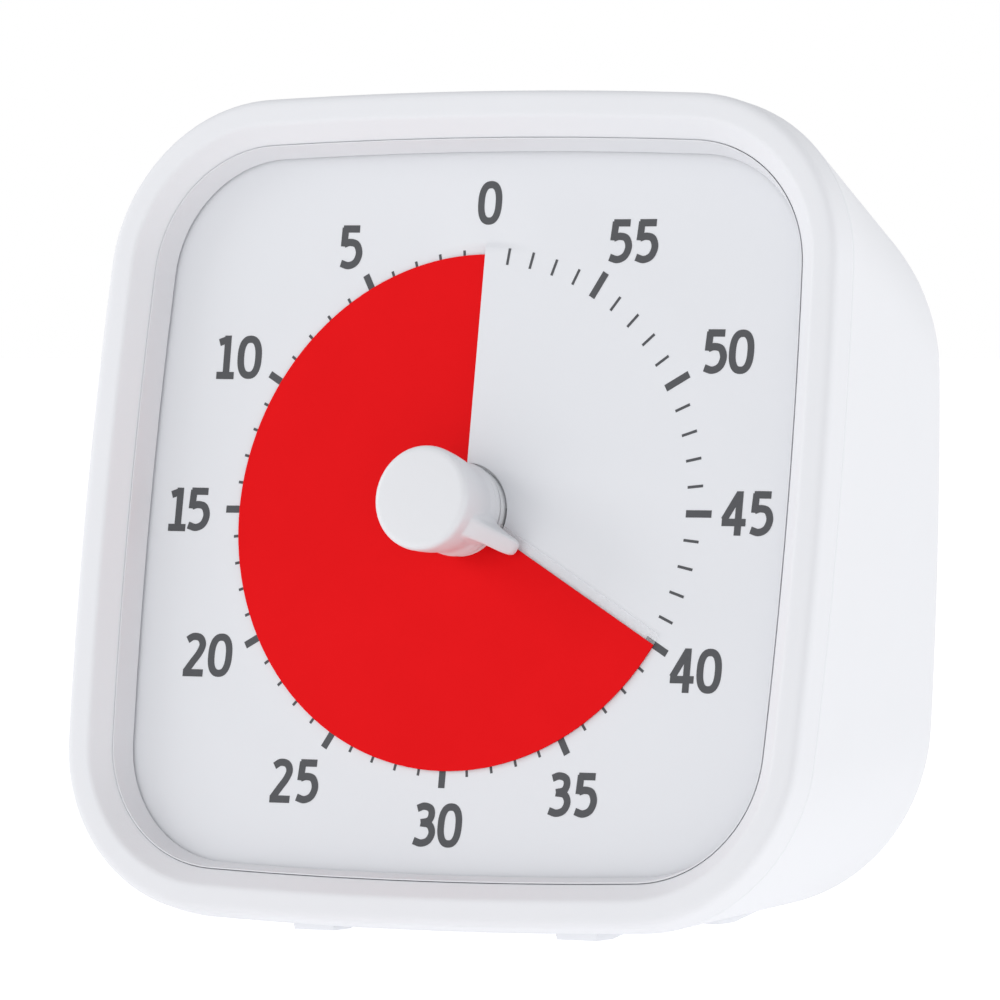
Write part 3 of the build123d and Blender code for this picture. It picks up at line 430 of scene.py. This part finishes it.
# The face and the underside, the walls of the hole and of the edge, then the two walls of the slit.
for ray in range(rays - 1):
    for ring in range(rings - 1):
        corner = ray * rings + ring
        plate_faces.append((corner, corner + 1, corner + rings + 1, corner + rings))
        plate_faces.append((below + corner, below + corner + rings, below + corner + rings + 1,
                            below + corner + 1))
    for ring in (0, rings - 1):
        corner = ray * rings + ring
        plate_faces.append((corner, corner + rings, below + corner + rings, below + corner))
for ray in (0, rays - 1):
    for ring in range(slit_end):
        corner = ray * rings + ring
        plate_faces.append((corner, corner + 1, below + corner + 1, below + corner))
dial = make_piece("slit_dial", plate_points, plate_faces, crease=60.0)
dial.data.materials.append(moulded("dial_paper", (0.765, 0.777, 0.81), (0.75, 0.762, 0.795),
                                   grain_mm=0.08, roughness=0.55, depth_mm=0.002, shine=0.3))
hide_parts("dial_plate")
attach(dial, "case")

# --- Minute marks ---
# Screen-printed grey bars: a fine one for every minute and a broad one for every five, none at the
# slit.  They climb the dial's gentle screw as they go round anticlockwise.


class Growth:
    """A geometry tree with named inputs, which ends in plain faces of one material."""

    def __init__(self, name, inputs):
        self.tree = bpy.data.node_groups.new(name, "GeometryNodeTree")
        sockets = self.tree.interface
        sockets.new_socket("Geometry", in_out="OUTPUT", socket_type="NodeSocketGeometry")
        self.identifiers = {}
        for label, kind in inputs.items():
            made = sockets.new_socket(label, in_out="INPUT", socket_type="NodeSocket" + kind)
            self.identifiers[label] = made.identifier
        self.given = self.node("NodeGroupInput", {}, {})

    def node(self, kind, settings, sockets):
        """Add a node: its settings first, then its sockets; gives its outputs."""
        made = self.tree.nodes.new(kind)
        for key, value in settings.items():
            setattr(made, key, value)
        for key, value in sockets.items():
            if isinstance(value, bpy.types.NodeSocket):
                self.tree.links.new(value, made.inputs[key])
            else:
                made.inputs[key].default_value = value
        return made.outputs

    def maths(self, operation, first, second=0.0):
        """One Math node's result."""
        return self.node("ShaderNodeMath", {"operation": operation}, {0: first, 1: second})[0]

    def vector(self, **parts):
        """A vector from its parts."""
        return self.node("ShaderNodeCombineXYZ", {}, parts)[0]

    def finish(self, copies, material):
        """End the tree: copies made plain faces, in one material."""
        plain = self.node("GeometryNodeRealizeInstances", {}, {0: copies})[0]
        coated = self.node("GeometryNodeSetMaterial", {}, {"Geometry": plain, "Material": material})[0]
        self.node("NodeGroupOutput", {}, {0: coated})

    def grown(self, name, values):
        """Plain mesh that the tree makes with these input values."""
        draft = placed(name + "_draft", bpy.data.meshes.new(name + "_draft"))
        modifier = draft.modifiers.new(name, "NODES")
        modifier.node_group = self.tree
        for label, value in values.items():
            modifier[self.identifiers[label]] = value
        mesh = bpy.data.meshes.new_from_object(
            draft.evaluated_get(bpy.context.evaluated_depsgraph_get()))
        bpy.data.objects.remove(draft)
        mesh.name = name
        return mesh


def ring_of_bars(name):
    """Tree of bars set round a circle, starting at the top; one in every so many is left out."""
    bars = Growth(name, {"Count": "Int", "Skip every": "Int", "Radius": "Float", "Low": "Float",
                         "Rise": "Float", "Bar": "Vector", "Ink": "Material"})
    given = bars.given
    index = bars.node("GeometryNodeInputIndex", {}, {})[0]
    share = bars.maths("DIVIDE", index, given["Count"])
    angle = bars.maths("ADD", bars.maths("MULTIPLY", share, 2 * math.pi), math.pi / 2)
    place = bars.vector(X=bars.maths("MULTIPLY", given["Radius"], bars.maths("COSINE", angle)),
                        Y=bars.maths("MULTIPLY", given["Radius"], bars.maths("SINE", angle)),
                        Z=bars.maths("ADD", given["Low"], bars.maths("MULTIPLY", share, given["Rise"])))
    points = bars.node("GeometryNodePoints", {}, {"Count": given["Count"], "Position": place})[0]
    skipped = bars.maths("COMPARE", bars.maths("MODULO", index, given["Skip every"]), 0.0)
    kept = bars.node("GeometryNodeDeleteGeometry", {"domain": "POINT"},
                     {"Geometry": points, "Selection": skipped})[0]
    where = bars.node("ShaderNodeSeparateXYZ", {},
                      {0: bars.node("GeometryNodeInputPosition", {}, {})[0]})
    spin = bars.vector(Z=bars.maths("ARCTAN2", where["Y"], where["X"]))
    bar = bars.node("GeometryNodeMeshCube", {}, {"Size": given["Bar"]})[0]
    copies = bars.node("GeometryNodeInstanceOnPoints", {},
                       {"Points": kept, "Instance": bar, "Rotation": spin})[0]
    bars.finish(copies, given["Ink"])
    return bars


INK_RISE = 0.03
ink = Finish("dial_ink")
ink_speck = ink.grain(0.15, 3.0)
ink_material = ink.surface(ink.blend(ink_speck, (0.068, 0.07, 0.077), (0.09, 0.093, 0.101)),
                           ink_speck * 0.2 + 0.45, ink_speck, 0.003, Specular_IOR_Level=0.3)
marks = ring_of_bars("printed_bars")
for name, count, skip, inner, outer, width in (("minute_marks", 60, 5, 27.45, 29.3, 0.3),
                                               ("five_minute_marks", 12, 12, 27.34, 30.44, 0.8)):
    mesh = marks.grown(name, {
        "Count": count, "Skip every": skip, "Radius": (inner + outer) / 2, "Low": THREAD_LOW,
        "Rise": DISC_PITCH, "Bar": (outer - inner, width, 2 * INK_RISE), "Ink": ink_material})
    on_plate = np.array([vertex.co for vertex in mesh.vertices])
    mesh.vertices.foreach_set("co", on_dial(on_plate).ravel())
    mesh.update()
    piece = placed(name, mesh)
    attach(piece, "case")

# --- Dial numbers ---
# Plain bold figures from 0 to 55, screen-printed in the same grey and counting anticlockwise.  They
# are built from strokes of even width, and lie on the dial so that they follow its rise and fall.
STROKE = 0.81
FIGURE_TOP = 2.03
FIGURE_PITCH = 3.2
ONE_PITCHES = {10: 3.05, 15: 2.65}
NUMBER_R = 34.6
STROKE_STEP = 0.004
OVAL_HALF = 1.1
OVAL_POWER = 0.82


def oval_stroke(steps=44):
    """Closed centre line of a nought, a little squarer than an ellipse."""
    line = []
    for step in range(steps + 1):
        angle = 2 * math.pi * step / steps
        across, up = math.cos(angle), math.sin(angle)
        line.append((OVAL_HALF * math.copysign(abs(across) ** OVAL_POWER, across),
                     FIGURE_TOP * math.copysign(abs(up) ** OVAL_POWER, up)))
    return line


def curved_line(points, steps=7):
    """Smooth centre line through a few points."""
    points = [np.array(point, dtype=float) for point in points]
    points = [2 * points[0] - points[1]] + points + [2 * points[-1] - points[-2]]
    line = []
    for first, second, third, fourth in zip(points, points[1:], points[2:], points[3:]):
        for step in range(steps):
            share = step / steps
            line.append(0.5 * (2 * second + (third - first) * share
                               + (2 * first - 5 * second + 4 * third - fourth) * share ** 2
                               + (3 * second - first - 3 * third + fourth) * share ** 3))
    return line + [points[-2]]


def straight_line(start, end, steps=6):
    """Straight centre line."""
    return [np.array(start) + (np.array(end) - np.array(start)) * step / steps
            for step in range(steps + 1)]


# Each figure's strokes, in millimetres across and up from its own middle.
FIGURES = {
    "0": [oval_stroke()],
    "1": [straight_line((0.22, 2.41), (0.22, -2.3)), straight_line((0.3, 2.02), (-0.82, 1.62)),
          straight_line((-0.95, -2.08), (1.2, -2.08))],
    "2": [curved_line([(-1.05, 1.62), (-0.35, 2.02), (0.5, 1.88), (0.88, 1.15), (0.55, 0.2),
                       (-0.2, -0.85), (-0.98, -1.95)]), straight_line((-1.3, -2.05), (1.22, -2.05))],
    "3": [curved_line([(-1.0, 1.76), (-0.2, 2.03), (0.62, 1.78), (0.82, 1.1), (0.5, 0.44),
                       (-0.45, 0.2)]),
          curved_line([(-0.45, 0.2), (0.62, 0.02), (1.05, -0.82), (0.68, -1.7), (-0.2, -2.03),
                       (-1.15, -1.78)])],
    "4": [straight_line((0.5, 2.41), (0.5, -2.4)), straight_line((0.42, 2.1), (-1.2, -0.72)),
          straight_line((-1.45, -0.98), (1.4, -0.98))],
    "5": [straight_line((-0.98, 2.05), (1.05, 2.05)), straight_line((-0.72, 2.2), (-0.82, 0.1)),
          curved_line([(-0.8, 0.36), (-0.1, 0.55), (0.72, 0.32), (1.08, -0.62), (0.72, -1.62),
                       (-0.15, -2.03), (-1.12, -1.78)])]}
# Optical adjustments, in millimetres across and up, that the print makes to its circle of numbers.
NUDGES = {0: (-0.1, -0.3), 5: (-0.1, -0.5), 10: (-0.7, -0.2), 15: (-0.7, -0.1), 20: (-1.1, 0.9),
          25: (-1.2, -0.2), 30: (-0.1, 0.1), 35: (-1.0, -0.8), 40: (0.1, 0.3), 45: (0.2, 0.1),
          50: (0.9, 0.4), 55: (0.9, -0.1)}


def stroke_band(line, lift):
    """Closed band of ink along a centre line: a thin strip with a flat top, sides and underside."""
    line = np.array(line)
    closed = np.linalg.norm(line[0] - line[-1]) < 1e-6
    along = np.gradient(line, axis=0)
    if closed:
        along[0] = along[-1] = line[1] - line[-2]
    along /= np.linalg.norm(along, axis=1, keepdims=True)
    side = np.column_stack([-along[:, 1], along[:, 0]]) * STROKE / 2
    rows = [line - side, line, line + side]
    points = np.vstack([np.column_stack([row, np.full(len(row), height)])
                        for height in (lift, -INK_RISE) for row in rows])
    count = len(line)
    faces = []
    for step in range(count - 1):
        for first, second in ((0, 1), (1, 2), (2, 5), (5, 4), (4, 3), (3, 0)):
            faces.append((first * count + step, first * count + step + 1, second * count + step + 1,
                          second * count + step))
    if not closed:
        for end in (0, count - 1):
            faces += [(end, count + end, 4 * count + end, 3 * count + end),
                      (count + end, 2 * count + end, 5 * count + end, 4 * count + end)]
    return points, faces


number_points, number_faces, so_far = [], [], 0
for minutes in range(0, 60, 5):
    figures = str(minutes)
    direction = math.radians(90 + minutes * 6)
    nudge = NUDGES[minutes]
    middle = (NUMBER_R * math.cos(direction) + nudge[0], NUMBER_R * math.sin(direction) + nudge[1])
    pitch = ONE_PITCHES.get(minutes, FIGURE_PITCH)
    for place, figure in enumerate(figures):
        for layer, line in enumerate(FIGURES[figure]):
            points, faces = stroke_band(line, INK_RISE + layer * STROKE_STEP)
            points[:, 0] += middle[0] + (place - (len(figures) - 1) / 2) * pitch
            points[:, 1] += middle[1]
            from_slit = (np.degrees(np.arctan2(points[:, 1], points[:, 0])) - 90) % 360
            points[:, 2] += dial_height(np.hypot(points[:, 0], points[:, 1]), from_slit)
            number_points.append(on_dial(points))
            number_faces += [tuple(corner + so_far for corner in face) for face in faces]
            so_far += len(points)
numbers = make_piece("dial_numbers", np.vstack(number_points), number_faces, crease=50.0)
numbers.data.materials.append(ink_material)
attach(numbers, "case")

# --- Time disc ---
# Thin red plastic sheet, one turn of a flat screw, with a clear strip bonded along its leading edge
# and a white collar that slides on the arbor's flat.  Its seat under the knob is pale on the open
# side.  It also carries one painted shadow: a near-black patch where the gap between the knob's collar
# and the dial's hole lies in shade.
COLLAR_SEAT_R = 6.0
OPEN_MIDDLE = math.radians(30.0)
OPEN_HALF = math.radians(58.0)
# Bearing and half width of the painted shadow on the seat, for the shaded gap beside the knob.
SHADOW_GAP_MIDDLE = math.radians(348.0)
SHADOW_GAP_HALF = math.radians(17.0)
red = Finish("red_sheet")
red_fine = red.grain(0.1, 3.0)
red_slow = red.grain(9.0)
from_centre = red.node("ShaderNodeVectorMath", {"operation": "SUBTRACT"},
                       {0: red.place, 1: tuple(DIAL_CENTRE)})
off_axis = red.node("ShaderNodeVectorMath", {"operation": "CROSS_PRODUCT"},
                    {0: from_centre, 1: tuple(OUT)})
from_axis = red.node("ShaderNodeVectorMath", {"operation": "LENGTH"}, {0: off_axis}, "Value")
seat = red.node("ShaderNodeMath", {"operation": "LESS_THAN"}, {0: from_axis, 1: COLLAR_SEAT_R * MM})


def within(middle, half):
    """Mask of the seat between two bearings round the axis."""
    bearing = ACROSS * math.cos(middle) + UP_DIAL * math.sin(middle)
    ahead = red.node("ShaderNodeVectorMath", {"operation": "DOT_PRODUCT"},
                     {0: from_centre, 1: tuple(bearing)}, "Value")
    return seat * red.node("ShaderNodeMath", {"operation": "GREATER_THAN"},
                           {0: ahead, 1: from_axis * math.cos(half)})


red_tone = red.blend(red_slow * 0.6 + red_fine * 0.4, (0.72, 0.004, 0.006), (0.80, 0.006, 0.009))
open_tone = red.blend(within(OPEN_MIDDLE, OPEN_HALF), red_tone, (0.62, 0.63, 0.65))
# Painted shadow: the seat is near black in this patch, where the gap round the knob's collar is in
# shade.
sheet_tone_and_painted_shadow = red.blend(within(SHADOW_GAP_MIDDLE, SHADOW_GAP_HALF), open_tone, (0.03, 0.03, 0.032))
dress(red.surface(sheet_tone_and_painted_shadow, red_fine * 0.12 + 0.5, red_fine, 0.002, Specular_IOR_Level=0.05),
      "time_disc")
clear = Finish("clear_strip")
clear_fine = clear.grain(0.2)
dress(clear.surface(clear.blend(clear_fine, (0.84, 0.85, 0.87), (0.90, 0.91, 0.93)),
                    clear_fine * 0.1 + 0.25, clear_fine, 0.002, Alpha=0.15, IOR=1.49), "disc_edge")
dress(moulded("collar_plastic", (0.83, 0.84, 0.86), (0.80, 0.81, 0.83),
              grain_mm=0.1, roughness=0.45, depth_mm=0.003), "disc_hub")

# --- Knob ---
# One-piece white knob pressed on the arbor: a flat round cap that narrows softly to a collar ring, and
# a pointer fin that flows out of the cap and slopes to the dial.
POINTER_DIR = math.radians(330.0)
KNOB_SEGMENTS = 96
KNOB_VOXEL = 0.11
KNOB_PASSES = 7
BORE_R = 2.42
BORE_TOP = 7.0
KNOB_FOOT = 1.1
KNOB_TOP = 10.18
FIN_POWER = 0.42
# The knob's side as radius and height over the dial, from its foot to the middle of the cap.
KNOB_SIDE = [(5.0, KNOB_FOOT), (5.2, 1.3), (5.2, 2.0), (5.06, 2.12), (5.2, 2.26), (5.12, 2.7),
             (5.07, 3.3), (5.16, 4.2), (5.36, 5.3), (5.54, 6.4), (5.66, 7.5), (5.74, 8.5), (5.78, 9.15),
             (5.72, 9.6), (5.5, 9.92), (5.1, 10.08), (3.5, 10.15), (1.5, KNOB_TOP)]
# The fin's sections as distance from the axis, half width, top and underside over the dial.
FIN_SECTIONS = [(3.0, 3.2, 9.8, 1.5), (4.2, 2.5, 9.7, 1.5), (5.0, 1.75, 9.0, 1.5), (5.7, 1.3, 7.85, 1.4),
                (6.0, 1.2, 7.3, 0.86), (6.4, 1.12, 6.5, 0.84), (7.1, 1.02, 5.0, 0.84),
                (7.8, 1.0, 3.55, 0.84), (8.3, 0.92, 2.5, 0.84), (8.6, 0.7, 1.9, 0.84),
                (8.72, 0.35, 1.6, 0.9)]


def lathe(profile, segments):
    """Points and faces of a closed turned shape; the first and last profile points are on the axis."""
    points = [(0.0, 0.0, profile[0][1]), (0.0, 0.0, profile[-1][1])]
    for radius, height in profile[1:-1]:
        for step in range(segments):
            angle = 2 * math.pi * step / segments
            points.append((radius * math.cos(angle), radius * math.sin(angle), height))
    faces = []
    rows = len(profile) - 2
    for step in range(segments):
        turn = (step + 1) % segments
        faces.append((0, 2 + turn, 2 + step))
        faces.append((1, 2 + (rows - 1) * segments + step, 2 + (rows - 1) * segments + turn))
        for row in range(rows - 1):
            low, high = 2 + row * segments, 2 + (row + 1) * segments
            faces.append((low + step, low + turn, high + turn, high + step))
    return points, faces


def fin_body(sections, around=24):
    """Points and faces of the pointer: round-cornered sections set one after another along it."""
    points = []
    for reach, half, top, foot in sections:
        for step in range(around):
            angle = 2 * math.pi * step / around
            across, up = math.cos(angle), math.sin(angle)
            points.append((reach, half * math.copysign(abs(across) ** FIN_POWER, across),
                           (top + foot) / 2
                           + (top - foot) / 2 * math.copysign(abs(up) ** FIN_POWER, up)))
    faces = []
    for row in range(len(sections) - 1):
        for step in range(around):
            turn = (step + 1) % around
            faces.append((row * around + step, row * around + turn, (row + 1) * around + turn,
                          (row + 1) * around + step))
    faces.append(tuple(range(around)))
    faces.append(tuple((len(sections) - 1) * around + step for step in reversed(range(around))))
    return points, faces


body_points, body_faces = lathe([(0.0, BORE_TOP), (BORE_R, BORE_TOP), (BORE_R, KNOB_FOOT)]
                                + KNOB_SIDE + [(0.0, KNOB_TOP)], KNOB_SEGMENTS)
fin_points, fin_faces = fin_body(FIN_SECTIONS)
cosine, sine = math.cos(POINTER_DIR), math.sin(POINTER_DIR)
fin_points = [(x * cosine - y * sine, x * sine + y * cosine, w) for x, y, w in fin_points]
rough = make_piece("pointer_knob_rough", on_dial(np.array(body_points + fin_points)),
                   body_faces + [tuple(corner + len(body_points) for corner in face)
                                 for face in fin_faces])
knob = softened(rough, "pointer_knob", KNOB_VOXEL, KNOB_PASSES)
knob.data.materials.append(moulded("knob_plastic", (0.755, 0.763, 0.79), (0.74, 0.748, 0.775),
                                   grain_mm=0.1, roughness=0.38, depth_mm=0.002, shine=0.35))
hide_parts("knob")
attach(knob, "knob_body")

# --- Arbor and clutch ---
# Turned brass arbor, and a stamped three-armed spring washer held by a plastic clip, which let the
# knob slip over the running wheels.
TARNISH_MM = 3.0
MARK_DEPTH = 0.002


def metal(name, pale, deep, line_mm, stretch, roughness):
    """Bare metal with tool marks drawn along one direction and slow tarnish."""
    finish = Finish(name)
    lines = finish.grain(line_mm, 3.0, stretch)
    tarnish = finish.grain(TARNISH_MM)
    return finish.surface(finish.blend(tarnish * 0.6 + lines * 0.4, deep, pale),
                          lines * 0.15 + tarnish * 0.1 + (roughness - 0.12), lines, MARK_DEPTH,
                          metallic=1.0)


dress(metal("turned_brass", (0.80, 0.64, 0.33), (0.66, 0.50, 0.24),
            line_mm=0.12, stretch=(1.0, 6.0, 1.0), roughness=0.32), "arbor")
dress(metal("spring_steel", (0.62, 0.62, 0.63), (0.50, 0.50, 0.52),
            line_mm=0.1, stretch=(6.0, 1.0, 1.0), roughness=0.3), "clutch_spring")
acetal = moulded("acetal_white", (0.86, 0.85, 0.80), (0.80, 0.79, 0.74),
                 grain_mm=0.1, roughness=0.45, depth_mm=0.003)
dress(acetal, "clutch_clip")

# --- Wheel train ---
# Moulded acetal wheels with leafed pinions, alternately natural and blue, and a black sintered
# magnet rotor on its own pinion.
dress(acetal, "minute_wheel", "seconds_wheel")
dress(moulded("acetal_blue", (0.26, 0.42, 0.63), (0.20, 0.34, 0.54),
              grain_mm=0.1, roughness=0.45, depth_mm=0.003), "third_wheel", "intermediate_wheel")
dress(moulded("sintered_magnet", (0.13, 0.13, 0.14), (0.07, 0.07, 0.08),
              grain_mm=0.12, roughness=0.5, depth_mm=0.01), "rotor")

# --- Motor ---
# Stamped stator and core laminations, a black bobbin, and a winding of fine enamelled copper wire.
# The turns of its outer layer lie side by side, each a closed ring.
COIL_U = 13.0
COIL_V = -7.0
COIL_W = -8.9
COIL_R = 3.6
COIL_LENGTH = 14.3
TURNS = 44
TURN_STEP = COIL_LENGTH / TURNS
WIRE_R = 0.16
TURN_SIDES = 32
WIRE_SIDES = 6


def row_of_turns(name):
    """Tree of closed turns of wire, side by side along a step."""
    coil = Growth(name, {"Turns": "Int", "Radius": "Float", "Wire": "Float", "Step": "Vector",
                         "Start": "Vector", "Copper": "Material"})
    given = coil.given
    places = coil.node("GeometryNodeMeshLine", {}, {"Count": given["Turns"], "Offset": given["Step"],
                                                    "Start Location": given["Start"]})[0]
    turn = coil.node("GeometryNodeCurvePrimitiveCircle", {},
                     {"Resolution": TURN_SIDES, "Radius": given["Radius"]})[0]
    wire = coil.node("GeometryNodeCurvePrimitiveCircle", {},
                     {"Resolution": WIRE_SIDES, "Radius": given["Wire"]})[0]
    tube = coil.node("GeometryNodeCurveToMesh", {}, {"Curve": turn, "Profile Curve": wire})[0]
    copies = coil.node("GeometryNodeInstanceOnPoints", {}, {"Points": places, "Instance": tube})[0]
    coil.finish(copies, given["Copper"])
    return coil


dress(metal("laminations", (0.52, 0.53, 0.55), (0.40, 0.41, 0.43),
            line_mm=0.15, stretch=(1.0, 1.0, 5.0), roughness=0.4), "stator", "coil_core")
dress(moulded("bobbin_black", (0.055, 0.055, 0.06), (0.035, 0.035, 0.04),
              grain_mm=0.15, roughness=0.5, depth_mm=0.004), "coil_bobbin")
copper = metal("enamelled_copper", (0.72, 0.30, 0.13), (0.56, 0.20, 0.08),
               line_mm=0.2, stretch=(1.0, 1.0, 1.0), roughness=0.3)
mesh = row_of_turns("coil_turns").grown("copper_winding", {
    "Turns": TURNS, "Radius": COIL_R - WIRE_R, "Wire": WIRE_R, "Step": (0.0, 0.0, TURN_STEP),
    "Start": (0.0, 0.0, (TURN_STEP - COIL_LENGTH) / 2), "Copper": copper})
turned = np.array([vertex.co for vertex in mesh.vertices])
mesh.vertices.foreach_set("co", on_dial(np.column_stack([
    COIL_U + turned[:, 0], COIL_V + turned[:, 2], COIL_W - turned[:, 1]])).ravel())
mesh.polygons.foreach_set("use_smooth", [True] * len(mesh.polygons))
mesh.update()
winding = placed("copper_winding", mesh)
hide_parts("coil_winding")
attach(winding, "case")

# --- Movement case ---
# Two grey moulded halves that close round the wheels and the motor, held by four zinc-plated screws.
# The four case screws have the same finish.
dress(moulded("movement_grey", (0.27, 0.28, 0.30), (0.22, 0.23, 0.25),
              grain_mm=0.18, roughness=0.52, depth_mm=0.006), "movement_front", "movement_rear")
dress(metal("zinc_plate", (0.72, 0.72, 0.73), (0.60, 0.60, 0.60),
            line_mm=0.1, stretch=(4.0, 1.0, 1.0), roughness=0.32), "movement_screws", "case_screws")

# --- Rear shell ---
# Hard white ABS cup with a spark-textured back.  It is moulded with the battery bay, the screw wells,
# the switch's slot and the sound holes in one piece.
shell_plastic = moulded("shell_plastic", (0.785, 0.793, 0.82), (0.76, 0.768, 0.795),
                        grain_mm=0.35, roughness=0.58, depth_mm=0.02, shine=0.35)
dress(shell_plastic, "rear_shell")

# --- Battery bay ---
# Snap-in door in the shell's plastic, one AA cell in a plain two-colour wrap with bare steel ends,
# and tinned contacts, one of them a coil spring.
BUTTON_BARE = 2.4
BASE_BARE = 1.2
SHOULDER_SHARE = 0.22
STEEL = (0.62, 0.62, 0.63)
dress(shell_plastic, "battery_door")
cell = Finish("cell_label")
cell_low, cell_high = (corner[0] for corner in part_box("battery"))
along = cell.node("ShaderNodeSeparateXYZ", {}, {0: cell.place}, "X")


def beyond(place):
    """Mask of the cell past a place along it."""
    return cell.node("ShaderNodeMath", {"operation": "GREATER_THAN"}, {0: along, 1: float(place)})


shoulder = beyond(cell_high - (cell_high - cell_low) * SHOULDER_SHARE)
printed = beyond(cell_low + BASE_BARE * MM) - beyond(cell_high - BUTTON_BARE * MM)
scuff = cell.grain(0.4, 4.0)
wrap = cell.blend(shoulder, (0.035, 0.04, 0.05), (0.60, 0.34, 0.12))
dress(cell.surface(cell.blend(printed, STEEL, wrap), scuff * 0.15 + 0.22, scuff, 0.004,
                   metallic=(1 - printed) * 0.95), "battery")
dress(metal("tinned_strip", (0.78, 0.78, 0.77), (0.66, 0.66, 0.66),
            line_mm=0.12, stretch=(1.0, 1.0, 5.0), roughness=0.3), "contact_spring", "contact_plate")

# --- Circuit board ---
# Green glass-epoxy board with a flat-pack controller, quartz can, sleeved capacitor and four chip
# resistors.
WEAVE_SCALE = 900.0
board = Finish("solder_mask")
weave = board.node("ShaderNodeTexWave", {"wave_type": "BANDS", "bands_direction": "X"},
                   {"Vector": board.place, "Scale": WEAVE_SCALE, "Distortion": 2.0}, "Fac")
patch = board.grain(2.2)
dress(board.surface(board.blend(patch * 0.8 + weave * 0.2, (0.02, 0.15, 0.06), (0.05, 0.27, 0.12)),
                    patch * 0.1 + 0.3, weave, 0.004), "circuit_board")
dress(moulded("black_epoxy", (0.04, 0.04, 0.04), (0.022, 0.022, 0.022),
              grain_mm=0.12, roughness=0.55, depth_mm=0.006), "clock_chip", "resistors")
dress(metal("drawn_can", (0.72, 0.72, 0.74), (0.62, 0.62, 0.64),
            line_mm=0.2, stretch=(5.0, 1.0, 1.0), roughness=0.25), "crystal")
dress(moulded("capacitor_sleeve", (0.05, 0.11, 0.34), (0.03, 0.08, 0.27),
              grain_mm=0.3, roughness=0.3, depth_mm=0.002), "capacitor")

# --- Sounder and sound switch ---
# Piezo disc in a black round case behind the sound holes, and a slide switch whose black slider
# stands in a slot of the back.
dress(moulded("sounder_black", (0.04, 0.04, 0.042), (0.025, 0.025, 0.027),
              grain_mm=0.2, roughness=0.42, depth_mm=0.004), "buzzer", "sound_switch")
dress(moulded("slider_black", (0.05, 0.05, 0.055), (0.03, 0.03, 0.035),
              grain_mm=0.15, roughness=0.5, depth_mm=0.006), "switch_slider")

# --- Leads ---
# Short leads in coloured PVC covers: a red pair from the battery contacts to the board, and a blue
# pair from the coil to the board.
for node, name, pale, deep in (
        ("battery_wires", "red_lead", (0.58, 0.03, 0.03), (0.48, 0.02, 0.02)),
        ("coil_wires", "blue_lead", (0.04, 0.09, 0.44), (0.03, 0.06, 0.34))):
    dress(moulded(name, pale, deep, grain_mm=0.3, roughness=0.42, depth_mm=0.003), node)

# --- Studio ---
# Pale floor that glows a little, under a sky that is white low down and greyer overhead.  Soft lamps
# stand on the left, low in front, and behind on the right.  The camera is right of the dial's axis.
SKY_WHITE_TO = 0.12
SKY_GREY_FROM = 0.5
FLOOR_REACH = 30.0
bpy.context.scene.view_settings.view_transform = "Standard"
world = bpy.data.worlds.new("studio")
bpy.context.scene.world = world
world.use_nodes = True
sky = world.node_tree.nodes
outlook = sky.new("ShaderNodeTexCoord")
outlook_parts = sky.new("ShaderNodeSeparateXYZ")
tone = sky.new("ShaderNodeValToRGB")
for stop, position, colour in zip(tone.color_ramp.elements, (SKY_WHITE_TO, SKY_GREY_FROM),
                                  ((1.0, 1.0, 1.0, 1.0), (0.6, 0.605, 0.615, 1.0))):
    stop.position = position
    stop.color = colour
world.node_tree.links.new(outlook.outputs["Generated"], outlook_parts.inputs[0])
world.node_tree.links.new(outlook_parts.outputs["Z"], tone.inputs[0])
world.node_tree.links.new(tone.outputs["Color"], sky["Background"].inputs["Color"])
floor_mesh = bpy.data.meshes.new("floor")
floor_mesh.from_pydata([(-FLOOR_REACH, -FLOOR_REACH, 0.0), (FLOOR_REACH, -FLOOR_REACH, 0.0),
                        (FLOOR_REACH, FLOOR_REACH, 0.0), (-FLOOR_REACH, FLOOR_REACH, 0.0)], [],
                       [(0, 1, 2, 3)])
floor = placed("floor", floor_mesh)
sweep = Finish("floor_sweep")
sweep_tone = sweep.grain(60.0)
floor_mesh.materials.append(sweep.surface(
    sweep.blend(sweep_tone, (0.44, 0.44, 0.445), (0.46, 0.46, 0.465)), sweep_tone * 0.05 + 0.7,
    Specular_IOR_Level=0.2, Emission_Color=(1.0, 1.0, 1.0, 1.0), Emission_Strength=0.72))


def lamp(name, place, aim, size, power):
    """Square soft light."""
    data = bpy.data.lights.new(name, "AREA")
    data.shape = "SQUARE"
    data.size = size
    data.energy = power
    light = placed(name, data)
    light.location = place
    light.rotation_euler = (Vector(aim) - Vector(place)).to_track_quat("-Z", "Y").to_euler()


lamp("key", place=(-1.15, -0.5, 0.55), aim=(0.0, 0.0, 0.045), size=0.5, power=3.6)
lamp("low_fill", place=(-0.35, -1.3, 0.12), aim=(0.0, 0.0, 0.03), size=0.7, power=1.6)
lamp("side_fill", place=(1.35, 0.45, 0.45), aim=(0.0, 0.0, 0.045), size=0.9, power=4.2)

CAMERA_AZIMUTH = math.radians(28.91)
CAMERA_PITCH = math.radians(-1.113)
CAMERA_DISTANCE = 0.8737
LENS_MM = 288.0
SENSOR_MM = 36.0
AIM = Vector(DIAL_CENTRE) + Vector((0.00341, 0.00191, 0.00124))
look = Vector((-math.sin(CAMERA_AZIMUTH) * math.cos(CAMERA_PITCH),
               math.cos(CAMERA_AZIMUTH) * math.cos(CAMERA_PITCH), math.sin(CAMERA_PITCH)))
camera_data = bpy.data.cameras.new("camera")
camera_data.lens = LENS_MM
camera_data.sensor_width = SENSOR_MM
camera_data.clip_end = 50.0
camera = placed("camera", camera_data)
camera.location = AIM - look * CAMERA_DISTANCE
camera.rotation_euler = look.to_track_quat("-Z", "Y").to_euler()
bpy.context.scene.camera = camera
